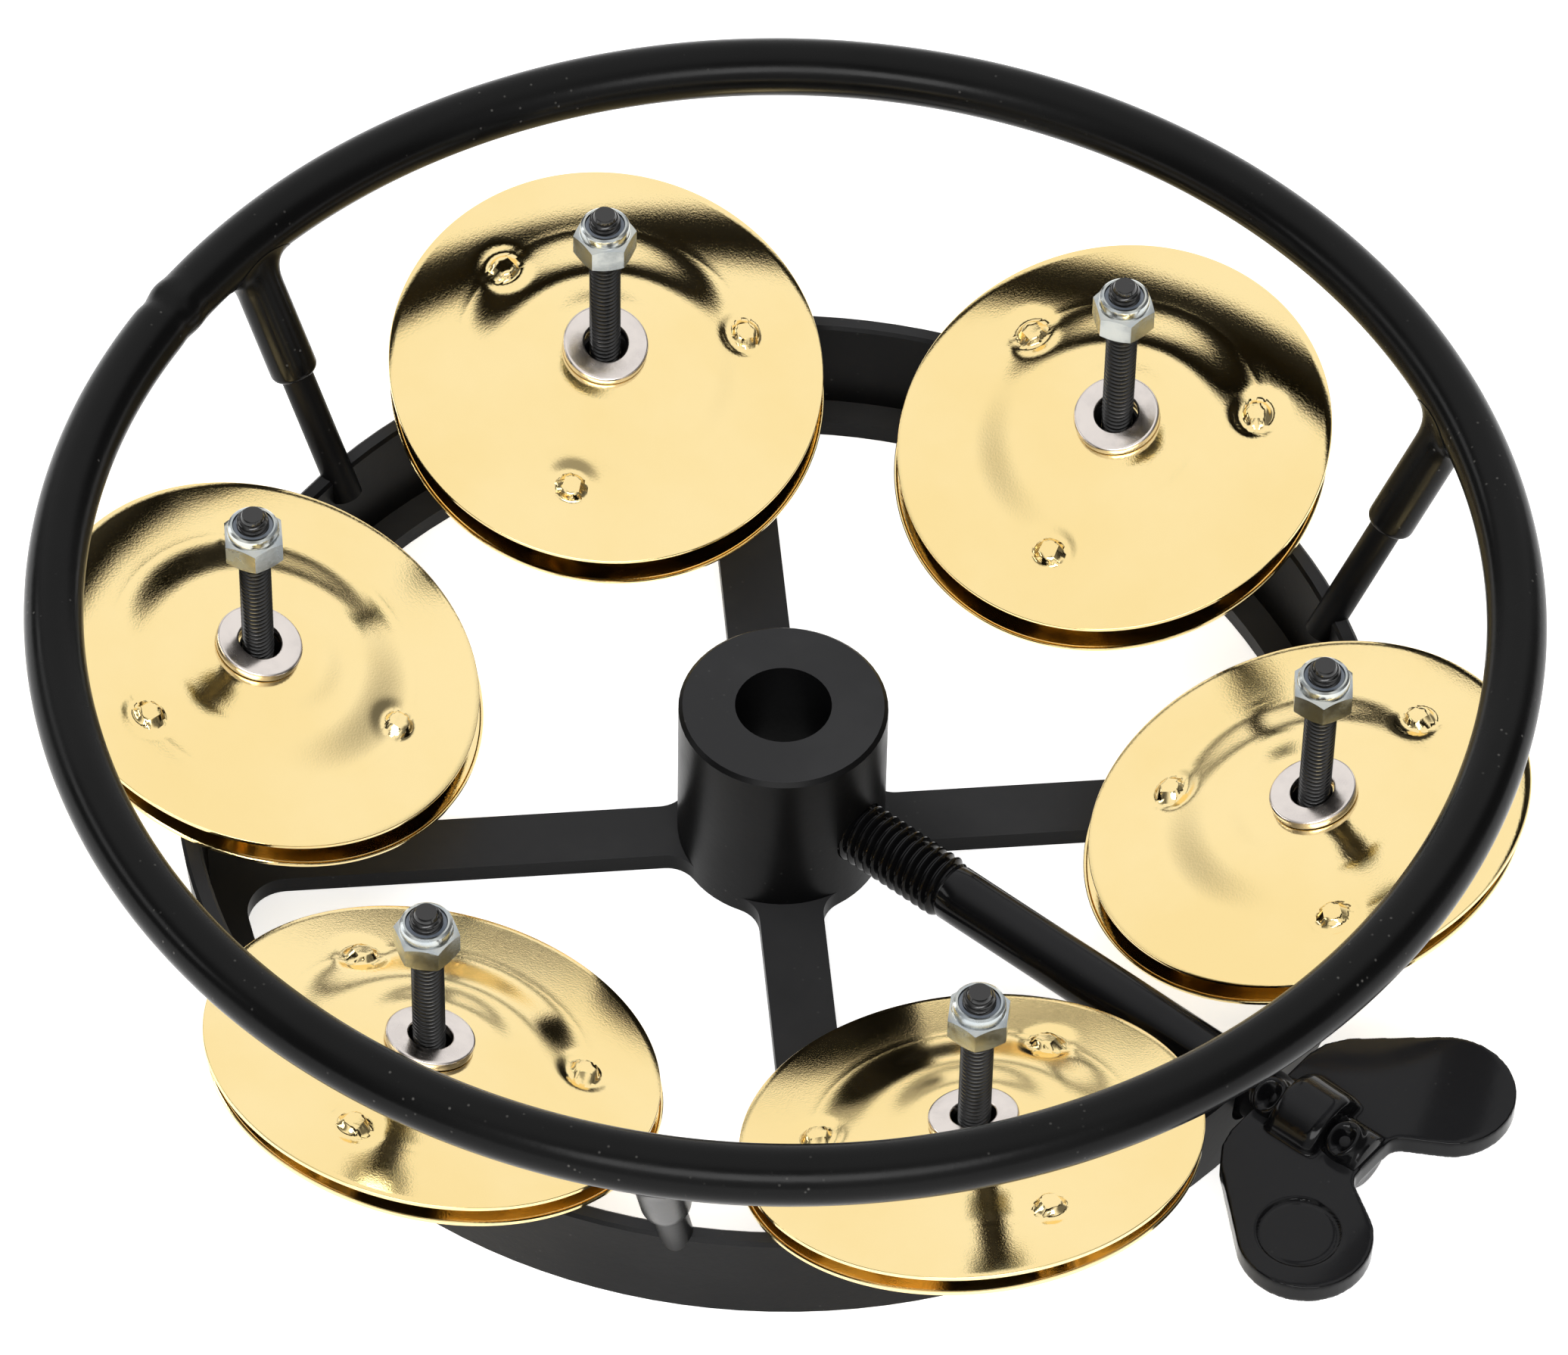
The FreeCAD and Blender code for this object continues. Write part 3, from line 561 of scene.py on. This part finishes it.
def jingle_mesh(steps=216):
    radii = (spaced(HOLE, SEAT, 3) + spaced(SEAT, 16.0, 26) + spaced(16.0, 21.4, 30)
             + spaced(21.4, JINGLE_RADIUS - LIP, 8) + [JINGLE_RADIUS - LIP])
    lip = [(JINGLE_RADIUS - LIP + LIP * math.sin(a), -DROOP - LIP + LIP * math.cos(a))
           for a in (math.pi / 2 * k / 4 for k in range(1, 5))]
    foot = -DROOP - SHEET - LIP
    lip += [(JINGLE_RADIUS, foot + 0.1), (JINGLE_RADIUS - 0.1, foot), (JINGLE_RADIUS - SHEET + 0.1, foot),
            (JINGLE_RADIUS - SHEET, foot + 0.07), (JINGLE_RADIUS - SHEET - 0.05, foot + LIP - 0.02)]
    points = []
    for k in range(steps):
        angle = 2 * math.pi * k / steps
        c, s = math.cos(angle), math.sin(angle)
        top = [(r * c, r * s, sheet_height(r) + button_height(r * c, r * s)) for r in radii]
        edge = [(r * c, r * s, z) for r, z in lip]
        under = [(x, y, z - SHEET) for x, y, z in reversed(top)]
        under[0] = (under[0][0] * 0.987, under[0][1] * 0.987, under[0][2])
        points += top + edge + under
    n = len(points) // steps
    faces = []
    for k in range(steps):
        here, there = k * n, (k + 1) % steps * n
        for j in range(n):
            nxt = (j + 1) % n
            faces.append((here + j, there + j, there + nxt, here + nxt))
    return points, faces


UPPER_SPIN = {1: 48.0, 2: 72.0, 3: 27.0, 4: 50.0, 5: 9.0, 6: 10.0}
LOWER_SPIN = {1: 12.0, 2: 100.0, 3: 85.0, 4: 20.0, 5: 64.0, 6: 75.0}
jingle_shape = jingle_mesh()

# %% Place the jingles


def place_jingle(node, body, spin, upside_down):
    """Puts the pressed disc where the CAD disc lies."""
    middle, axis = disc_place(node)
    heights = points_of(node) @ axis
    if upside_down:
        brim = heights.min() + DOME
        axis = -axis
        base = middle - axis * (middle @ axis) - axis * brim
    else:
        brim = heights.max() - DOME
        base = middle - axis * (middle @ axis) + axis * brim
    piece = make_piece(f"pressed_{node}", *jingle_shape, matrix=matrix_along(axis, base, spin))
    return finish_piece(piece, BRASS, body, "brass", node)


for k in STATIONS:
    place_jingle(f"upper_jingle_{k}", f"upper_jingle_{k}", UPPER_SPIN[k], False)
    place_jingle(f"lower_jingle_{k}", f"lower_jingle_{k}", LOWER_SPIN[k], True)
print("a jingle has", len(jingle_shape[1]), "faces")

# %% [markdown]
# ## Washers, nuts and screws
#
# A stamped washer has one rounded side and one with a slight burr.  The lock nut's hexagon is cut back by a
# cone at both ends, which draws the curved edge on each flat: a point at the corner stands further out than
# the cone allows, so it moves down.  Its collar is rolled in over the nylon ring.

# %% Washers


def washer_piece(k):
    node = f"top_washer_{k}"
    axis = disc_place(f"upper_jingle_{k}")[1]
    middle = (points_of(node).max(0) + points_of(node).min(0)) / 2
    heights = points_of(node) @ axis
    thick = heights.max() - heights.min()
    base = middle - axis * (middle @ axis) + axis * heights.min()
    section = rounded([(2.75, 0), (5.5, 0), (5.5, thick), (2.75, thick)], [0.12, 0.12, 0.42, 0.3])
    piece = make_piece(f"stamped_washer_{k}", *lathe(section, 72), matrix=matrix_along(axis, base))
    return finish_piece(piece, NICKEL, f"washer_{k}", "washer_nickel", node)


for k in STATIONS:
    washer_piece(k)

# %% Lock nuts
NUT_SPIN = {1: 8.0, 2: 22.0, 3: 47.0, 4: 15.0, 5: 31.0, 6: 3.0}


def nut_mesh(height, flats=7.0, hex_height=3.5, around=96):
    """Rings of points from the nut's foot up, over the collar and down to the nylon ring."""
    def hex_reach(angle):
        return flats / 2 / math.cos((angle + math.pi / 6) % (math.pi / 3) - math.pi / 6)
    collar = flats / 2 - 0.32
    slope = math.tan(math.radians(30))
    rings = []
    for k in range(around):
        angle = 2 * math.pi * k / around
        reach = hex_reach(angle)
        drop = max(0.0, reach - flats / 2 + 0.05) * slope
        foot = [(2.1, 0.0), (flats / 2 - 0.15, 0.0), (reach, drop)]
        side = [(reach, hex_height - drop), (flats / 2 - 0.1, hex_height), (collar + 0.08, hex_height + 0.05)]
        wall = [(collar, hex_height + 0.18), (collar, height - 0.5), (collar - 0.12, height - 0.2),
                (collar - 0.38, height - 0.02), (collar - 0.62, height - 0.04),
                (collar - 0.74, height - 0.22)]
        bore = [(2.66, height - 0.34), (2.1, height - 0.36)]
        rings.append([(r * math.cos(angle), r * math.sin(angle), z) for r, z in foot + side + wall + bore])
    n = len(rings[0])
    points = [p for ring in rings for p in ring]
    faces = []
    for k in range(around):
        here, there = k * n, (k + 1) % around * n
        faces += [(here + j, there + j, there + (j + 1) % n, here + (j + 1) % n) for j in range(n)]
    return points, faces


for k in STATIONS:
    base, height = upright_place(f"lock_nut_{k}")
    stand = matrix_along((0, 0, 1), base, NUT_SPIN[k])
    nut = make_piece(f"rolled_lock_nut_{k}", *nut_mesh(height), matrix=stand, sharp=24.0)
    finish_piece(nut, ZINC, "frame", "nut_zinc", f"lock_nut_{k}")

# %% Jingle screws


def screw_piece(k):
    """Threaded from the boss to its chamfered tip, with a button head below."""
    base, length = upright_place(f"jingle_screw_{k}")
    head = 2.4
    bar = thread(2.0, 0.7, 14.0, length - 0.55)
    tip = lathe([(0, length - 0.8), (1.56, length - 0.8), (1.56, length - 0.5), (1.3, length), (0, length)],
                32, closed=False)
    shank = lathe([(0, head), (1.72, head), (1.72, 14.3), (0, 14.3)], 32, closed=False)
    button = lathe([(0, 1.3), (1.25, 1.3), (1.25, 0.05), (1.4, 0.0), (2.5, 0.05), (3.1, 0.42), (3.6, 1.1),
                    (3.8, 1.6), (3.8, head), (0, head)], 48, closed=False)
    shape = joined(bar, cleaned(*tip), cleaned(*shank), cleaned(*button))
    piece = make_piece(f"rolled_jingle_screw_{k}", *shape, matrix=Matrix.Translation(base))
    return finish_piece(piece, OXIDE, "frame", "screw_black", f"jingle_screw_{k}")


for k in STATIONS:
    screw_piece(k)

# %% [markdown]
# ## The dipped guard ring
#
# The ring and the upper half of each post were dipped together in soft plastic.  Where a post meets the
# ring the plastic pooled into a smooth fillet, and at its lower end it stopped in a round lip.  The ring is
# a torus with a small scar where the rod's ends were welded.  Each sleeve is a tube whose top is drawn out
# onto the torus: for every direction round the post, the point where the tube would pierce the torus
# becomes the corner of a quadratic curve that leaves along the post and lands flat on the ring.

# %% Guard ring
coat_low, coat_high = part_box("guard_coat")
rod_low, rod_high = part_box("guard_ring_rod")
RING_Z = (rod_low.z + rod_high.z) / 2 / MM
COAT = coat_high.z / MM - RING_Z
RING_RADIUS = coat_high.x / MM - COAT
print(f"guard ring: radius {RING_RADIUS:.2f}, coated tube {2 * COAT:.2f} across, centre {RING_Z:.2f} up")


def onto_ring(point, sink=0.0):
    """The nearest point on the coated ring's surface."""
    flat = Vector((point.x, point.y, 0))
    core = flat.normalized() * RING_RADIUS + Vector((0, 0, RING_Z))
    return core + (point - core).normalized() * (COAT - sink)


def ring_skin(around=720, section=40):
    points = []
    for k in range(around):
        angle = 2 * math.pi * k / around
        past = math.degrees(angle) - 188.6
        lump = 0.36 * math.exp(-(past / 0.9) ** 2) - 0.3 * math.exp(-((past - 1.6) / 0.7) ** 2)
        wave = 0.03 * math.sin(3 * angle + 0.7) + 0.02 * math.sin(11 * angle)
        for j in range(section):
            turn = 2 * math.pi * j / section
            tube = COAT - 0.08 + wave * 0.6 + lump * (0.5 + 0.5 * math.cos(turn - 1.7))
            reach = RING_RADIUS + tube * math.cos(turn)
            height = min(tube * math.sin(turn), COAT - 0.02)
            points.append((reach * math.cos(angle), reach * math.sin(angle), RING_Z + height))
    faces = []
    for k in range(around):
        here, there = k * section, (k + 1) % around * section
        faces += [(here + j, there + j, there + (j + 1) % section, here + (j + 1) % section)
                  for j in range(section)]
    return points, faces


def post_line(k):
    """The foot and the top of a post's centre line, from its CAD node."""
    points = points_of(f"guard_post_{k}")
    low = points[points[:, 2] < points[:, 2].min() + 3.5]
    foot = Vector(low.mean(0))
    angle = math.atan2(foot.y, foot.x)
    return foot, Vector((RING_RADIUS * math.cos(angle), RING_RADIUS * math.sin(angle), RING_Z))


def sleeve_skin(k, around=48, sleeve=3.1, bare=2.1, pool=3.4):
    """One sleeve, from inside its lower lip up to the ring."""
    foot, top = post_line(k)
    along = (top - foot).normalized()
    side = along.cross(Vector((0, 0, 1))).normalized()
    front = side.cross(along)
    start = top - along * 19.9
    columns = []
    for i in range(around):
        turn = 2 * math.pi * i / around
        out = front * math.cos(turn) + side * math.sin(turn)
        lip = [start + along * 1.6 + out * (bare - 0.05), start + along * 0.25 + out * (bare - 0.02)]
        lip += [start + along * (1.0 - 1.0 * math.cos(a)) + out * (bare + 1.0 * math.sin(a))
                for a in (math.pi / 2 * j / 5 for j in range(6))]
        reach = 8.0
        while (start + along * reach + out * sleeve - onto_ring(start + along * reach + out * sleeve)).dot(
                start + along * reach + out * sleeve - Vector((top.x, top.y, RING_Z))) > 0 and reach < 19.0:
            reach += 0.05
        corner = start + along * reach + out * sleeve
        leave = start + along * (reach - pool) + out * sleeve
        land = onto_ring(corner + out * pool * 0.8)
        tube = [start + along * (1.2 + (reach - pool - 1.2) * t) + out * sleeve
                for t in (0.12, 0.3, 0.5, 0.7, 0.88)]
        curve = []
        for j in range(9):
            t = j / 8
            curve.append(leave * (1 - t) ** 2 + corner * 2 * t * (1 - t) + land * t ** 2)
        sunk = [onto_ring(land, 0.5), top + (onto_ring(land) - top) * 0.3]
        columns.append(lip + tube + curve + sunk)
    n = len(columns[0])
    points = [tuple(p) for column in columns for p in column]
    faces = []
    for i in range(around):
        here, there = i * n, (i + 1) % around * n
        faces += [(here + j, there + j, there + j + 1, here + j + 1) for j in range(n - 1)]
    faces.append(tuple(i * n + n - 1 for i in range(around)))
    faces.append(tuple(i * n for i in reversed(range(around))))
    return points, faces


coat_shape = joined(ring_skin(), *(sleeve_skin(k) for k in (1, 2, 3)))
dipped = make_piece("dipped_guard_coat", *coat_shape, sharp=70.0)
finish_piece(dipped, DIPPED, "frame", "guard_skin", "guard_coat")

# %% [markdown]
# ## The clamp screw
#
# A long bolt with a rolled thread at one end.  The wing was pushed onto the plain shank and kept there by
# two crimps, one each side, that raise an ear of metal beside a small crater.

# %% Clamp screw
bolt_low, bolt_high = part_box("clamp_bolt")
wing_low, wing_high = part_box("wing_head")
CLAMP_Z = (bolt_low.z + bolt_high.z) / 2 / MM
CLAMP_END = bolt_high.x / MM
CLAMP_START = bolt_low.x / MM
THREAD_END = 27.3
SHANK = 3.6
CRIMPS = ((78.4, 118.0), (89.4, 112.0))          # distance along the screw, direction round it in degrees


def crimped_radius(x, turn):
    """The shank's radius, with a raised ear round a crater at each crimp."""
    extra = 0.0
    for at, direction in CRIMPS:
        around = (turn - math.radians(direction) + math.pi) % (2 * math.pi) - math.pi
        gap = math.hypot((x - at) / 1.35, SHANK * around / 1.5)
        extra += 1.15 * math.exp(-((gap - 1.15) / 0.55) ** 2) - 1.0 * math.exp(-(gap / 0.72) ** 2)
    return SHANK + extra


def shank_skin(around=96):
    stations = (spaced(THREAD_END + 0.4, 75.5, 24) + spaced(75.5, 82.0, 44) + spaced(82.0, 86.8, 6)
                + spaced(86.8, CLAMP_END - 0.3, 40))
    rings = [[(x, crimped_radius(x, 2 * math.pi * j / around)) for j in range(around)] for x in stations]
    rings.append([(CLAMP_END - 0.1, SHANK - 0.05)] * around)
    rings.append([(CLAMP_END, SHANK - 0.22)] * around)
    points, faces = [], []
    for ring in rings:
        for j, (x, radius) in enumerate(ring):
            turn = 2 * math.pi * j / around
            points.append((radius * math.cos(turn), radius * math.sin(turn), x))
    for i in range(len(rings) - 1):
        faces += [(i * around + j, i * around + (j + 1) % around, (i + 1) * around + (j + 1) % around,
                   (i + 1) * around + j) for j in range(around)]
    faces.append(tuple((len(rings) - 1) * around + j for j in range(around)))
    return points, faces


to_x = Matrix.Translation((0, 0, CLAMP_Z)) @ Matrix(((0, 0, 1, 0), (1, 0, 0, 0), (0, 1, 0, 0), (0, 0, 0, 1)))
runout = cleaned(*lathe([(0, THREAD_END - 0.9), (3.3, THREAD_END - 0.9), (3.3, THREAD_END - 0.2),
                         (SHANK, THREAD_END + 0.4)], 96, closed=False))
bolt_shape = joined(thread(4.0, 1.25, CLAMP_START, THREAD_END, 72), runout, shank_skin())
bolt = make_piece("rolled_clamp_bolt", *bolt_shape, matrix=to_x)
finish_piece(bolt, GLOSSY, "clamp_screw", "clamp_coat", "clamp_bolt")

# %% [markdown]
# ## The wing
#
# The wing is a casting: two flat lobes and a barrel that flow into each other.  Blending such shapes by
# hand is slow, so the parts are only stacked roughly, a voxel remesh fuses them into one skin, and a
# smoothing pass rounds every meeting line as a casting's fillets do.  The round recess is then pressed into
# one lobe.

# %% Wing
WING_THICK = 3.0
LOBE = 8.3
LOBE_AT = (93.5, 14.2)
WING_BACK = wing_low.x / MM
MEDAL = 5.0
BARREL = (wing_high.z - wing_low.z) / 2 / MM + 0.05
print(f"the wing's barrel is {2 * BARREL:.1f} across")


def wing_outline():
    """Corners of the V, in the plane of the wing, for the side with positive Y and its mirror."""
    lean = math.atan2(LOBE_AT[1], LOBE_AT[0] - 75.0)
    across = Vector((-math.sin(lean), math.cos(lean)))
    centre = Vector(LOBE_AT)
    outer = centre + across * LOBE
    half = [Vector((WING_BACK + 0.2, 7.6)), Vector((WING_BACK + 0.8, 10.2)), Vector((WING_BACK + 2.4, 12.6))]
    half.append(outer)
    for k in range(1, 24):
        angle = lean + math.pi / 2 - math.pi * k / 24
        half.append(centre + Vector((math.cos(angle), math.sin(angle))) * LOBE)
    half += [centre - across * LOBE, Vector((93.6, 4.6)), Vector((92.9, 3.6)), Vector((92.8, 2.0))]
    return half + [Vector((p.x, -p.y)) for p in reversed(half)]


def wing_plate():
    outline = wing_outline()
    n = len(outline)
    points = [(p.x, p.y, CLAMP_Z - WING_THICK / 2) for p in outline]
    points += [(p.x, p.y, CLAMP_Z + WING_THICK / 2) for p in outline]
    faces = [tuple(range(n)), tuple(range(2 * n - 1, n - 1, -1))]
    faces += [(k, (k + 1) % n, n + (k + 1) % n, n + k) for k in range(n)]
    return points, faces


def turned_along_x(section, steps=64):
    points, faces = cleaned(*lathe(section, steps, closed=False))
    return [tuple(to_x @ Vector(p)) for p in points], faces


barrel = turned_along_x([(0, 80.0), (5.2, 80.0), (BARREL, 80.9), (BARREL, 85.8), (5.2, 87.0), (0, 87.2)])
rib = turned_along_x([(0, 78.0), (3.3, 78.2), (3.3, 92.2), (0, 92.4)])
wing_rough = make_piece("cast_wing_head", *joined(wing_plate(), barrel, rib))
remesh = wing_rough.modifiers.new("fuse", "REMESH")
remesh.mode = "VOXEL"
remesh.voxel_size = 0.26 * MM
smooth = wing_rough.modifiers.new("soften", "SMOOTH")
smooth.factor = 0.5
smooth.iterations = 9
bpy.context.view_layer.update()
fused = bpy.data.meshes.new_from_object(wing_rough.evaluated_get(bpy.context.evaluated_depsgraph_get()))
wing_rough.modifiers.clear()
wing_rough.data = fused


def press_recess(mesh, centre, radius):
    """Lowers a round patch of the top face, with a narrow groove round it."""
    top = CLAMP_Z + WING_THICK / 2
    for vertex in mesh.vertices:
        x, y, z = vertex.co / MM
        gap = math.hypot(x - centre[0], y - centre[1])
        if z < CLAMP_Z + 0.6 or gap > radius + 1.5:
            continue
        floor = -0.34 * (1 - smooth_step((gap - radius + 0.35) / 0.5))
        groove = -0.22 * math.exp(-((gap - radius + 0.15) / 0.3) ** 2)
        vertex.co.z = min(z, top) * MM + (floor + groove) * MM


press_recess(fused, (LOBE_AT[0] - 0.6, -LOBE_AT[1] - 0.4), MEDAL)
for polygon in fused.polygons:
    polygon.use_smooth = True
finish_piece(wing_rough, GLOSSY, "clamp_screw", "clamp_coat", "wing_head")
print("the wing has", len(fused.polygons), "faces")

# %% [markdown]
# ## Camera
#
# The camera stands well back with a long lens, which keeps the ring's ellipse true.  It is described as a
# photographer would describe it: a distance and a height angle, then how far it is tipped and rolled.

# %% Camera
DISTANCE = 1.17869
ELEVATION = math.radians(50.61)
AZIMUTH = math.radians(-51.0)
TIP = math.radians(0.97)
ROLL = math.radians(1.17)
SENSOR = 36.0
LENS = 215.45

eye = Vector((math.cos(ELEVATION) * math.cos(AZIMUTH), math.cos(ELEVATION) * math.sin(AZIMUTH),
              math.sin(ELEVATION))) * DISTANCE
forward = -eye.normalized()
right = Vector((-math.sin(AZIMUTH), math.cos(AZIMUTH), 0))
above = right.cross(forward)


def swung(first, second, angle):
    """Turns two square directions towards each other's place by an angle."""
    return (first * math.cos(angle) + second * math.sin(angle),
            second * math.cos(angle) - first * math.sin(angle))


forward, above = swung(forward, above, TIP)
right, above = swung(right, above, ROLL)
camera_data = bpy.data.cameras.new("camera")
camera_data.sensor_width = SENSOR
camera_data.sensor_fit = "HORIZONTAL"
camera_data.lens = LENS
camera_data.clip_end = 20.0
camera = bpy.data.objects.new("camera", camera_data)
camera.matrix_world = Matrix.Translation(eye) @ Matrix((right, above, -forward)).transposed().to_4x4()
bpy.context.scene.collection.objects.link(camera)
bpy.context.scene.camera = camera

# %% [markdown]
# ## Light and floor
#
# Polished brass shows whatever surrounds it, so the surroundings are the real light here: a sky that is
# bright overhead and behind the instrument, and dim at both sides and round the viewer.  A key panel behind
# the viewer and a strip on the left draw soft lines on the black coats.  The floor is a plain pale sheet.

# %% Light and floor


def build_world():
    world = bpy.data.worlds.new("studio")
    world.use_nodes = True
    tree = world.node_tree
    background = tree.nodes["Background"]
    place = tree.nodes.new("ShaderNodeTexCoord")
    aim = tree.nodes.new("ShaderNodeVectorMath")
    aim.operation = "DOT_PRODUCT"
    aim.inputs[1].default_value = eye.normalized()
    tree.links.new(place.outputs["Generated"], aim.inputs[0])
    ahead = stretch(tree, aim.outputs["Value"], 0.90, 0.985, 1.0, 0.35)
    across = tree.nodes.new("ShaderNodeVectorMath")
    across.operation = "DOT_PRODUCT"
    across.inputs[1].default_value = (-math.sin(AZIMUTH), math.cos(AZIMUTH), 0)
    tree.links.new(place.outputs["Generated"], across.inputs[0])
    beside = stretch(tree, maths(tree, "ABSOLUTE", across.outputs["Value"], 0.0), 0.52, 0.82, 1.0, 0.16)
    level = maths(tree, "MULTIPLY", ahead, beside)
    background.inputs["Color"].default_value = (1.0, 1.0, 1.0, 1.0)
    tree.links.new(level, background.inputs["Strength"])
    bpy.context.scene.world = world


def panel(name, place, aim, width, height, power):
    light = bpy.data.lights.new(name, "AREA")
    light.shape = "RECTANGLE"
    light.size = width
    light.size_y = height
    light.energy = power
    item = bpy.data.objects.new(name, light)
    item.location = place
    item.rotation_euler = (Vector(aim) - Vector(place)).to_track_quat("-Z", "Y").to_euler()
    bpy.context.scene.collection.objects.link(item)
    return item


def build_floor():
    points = [(-3000, -3000, 0), (3000, -3000, 0), (3000, 3000, 0), (-3000, 3000, 0)]
    floor = make_piece("floor", points, [(0, 1, 2, 3)], matrix=Matrix.Translation((0, 0, -0.02)))
    material, _, shader = new_material("pale_floor", Roughness=0.8)
    shader.inputs["Base Color"].default_value = (0.93, 0.93, 0.93, 1.0)
    shader.inputs["Emission Color"].default_value = (1.0, 1.0, 1.0, 1.0)
    shader.inputs["Emission Strength"].default_value = 0.66
    floor.data.materials.append(material)


build_world()
build_floor()
key_place = Vector((math.cos(AZIMUTH) * 1.27, math.sin(AZIMUTH) * 1.27, 1.0))
panel("key_panel", key_place, (0, 0, 0.02), 1.3, 0.55, 17.0)
panel("left_panel", (-1.15, -0.6, 0.6), (0, 0, 0.02), 1.2, 0.25, 3.0)
bpy.context.scene.view_settings.view_transform = "Standard"
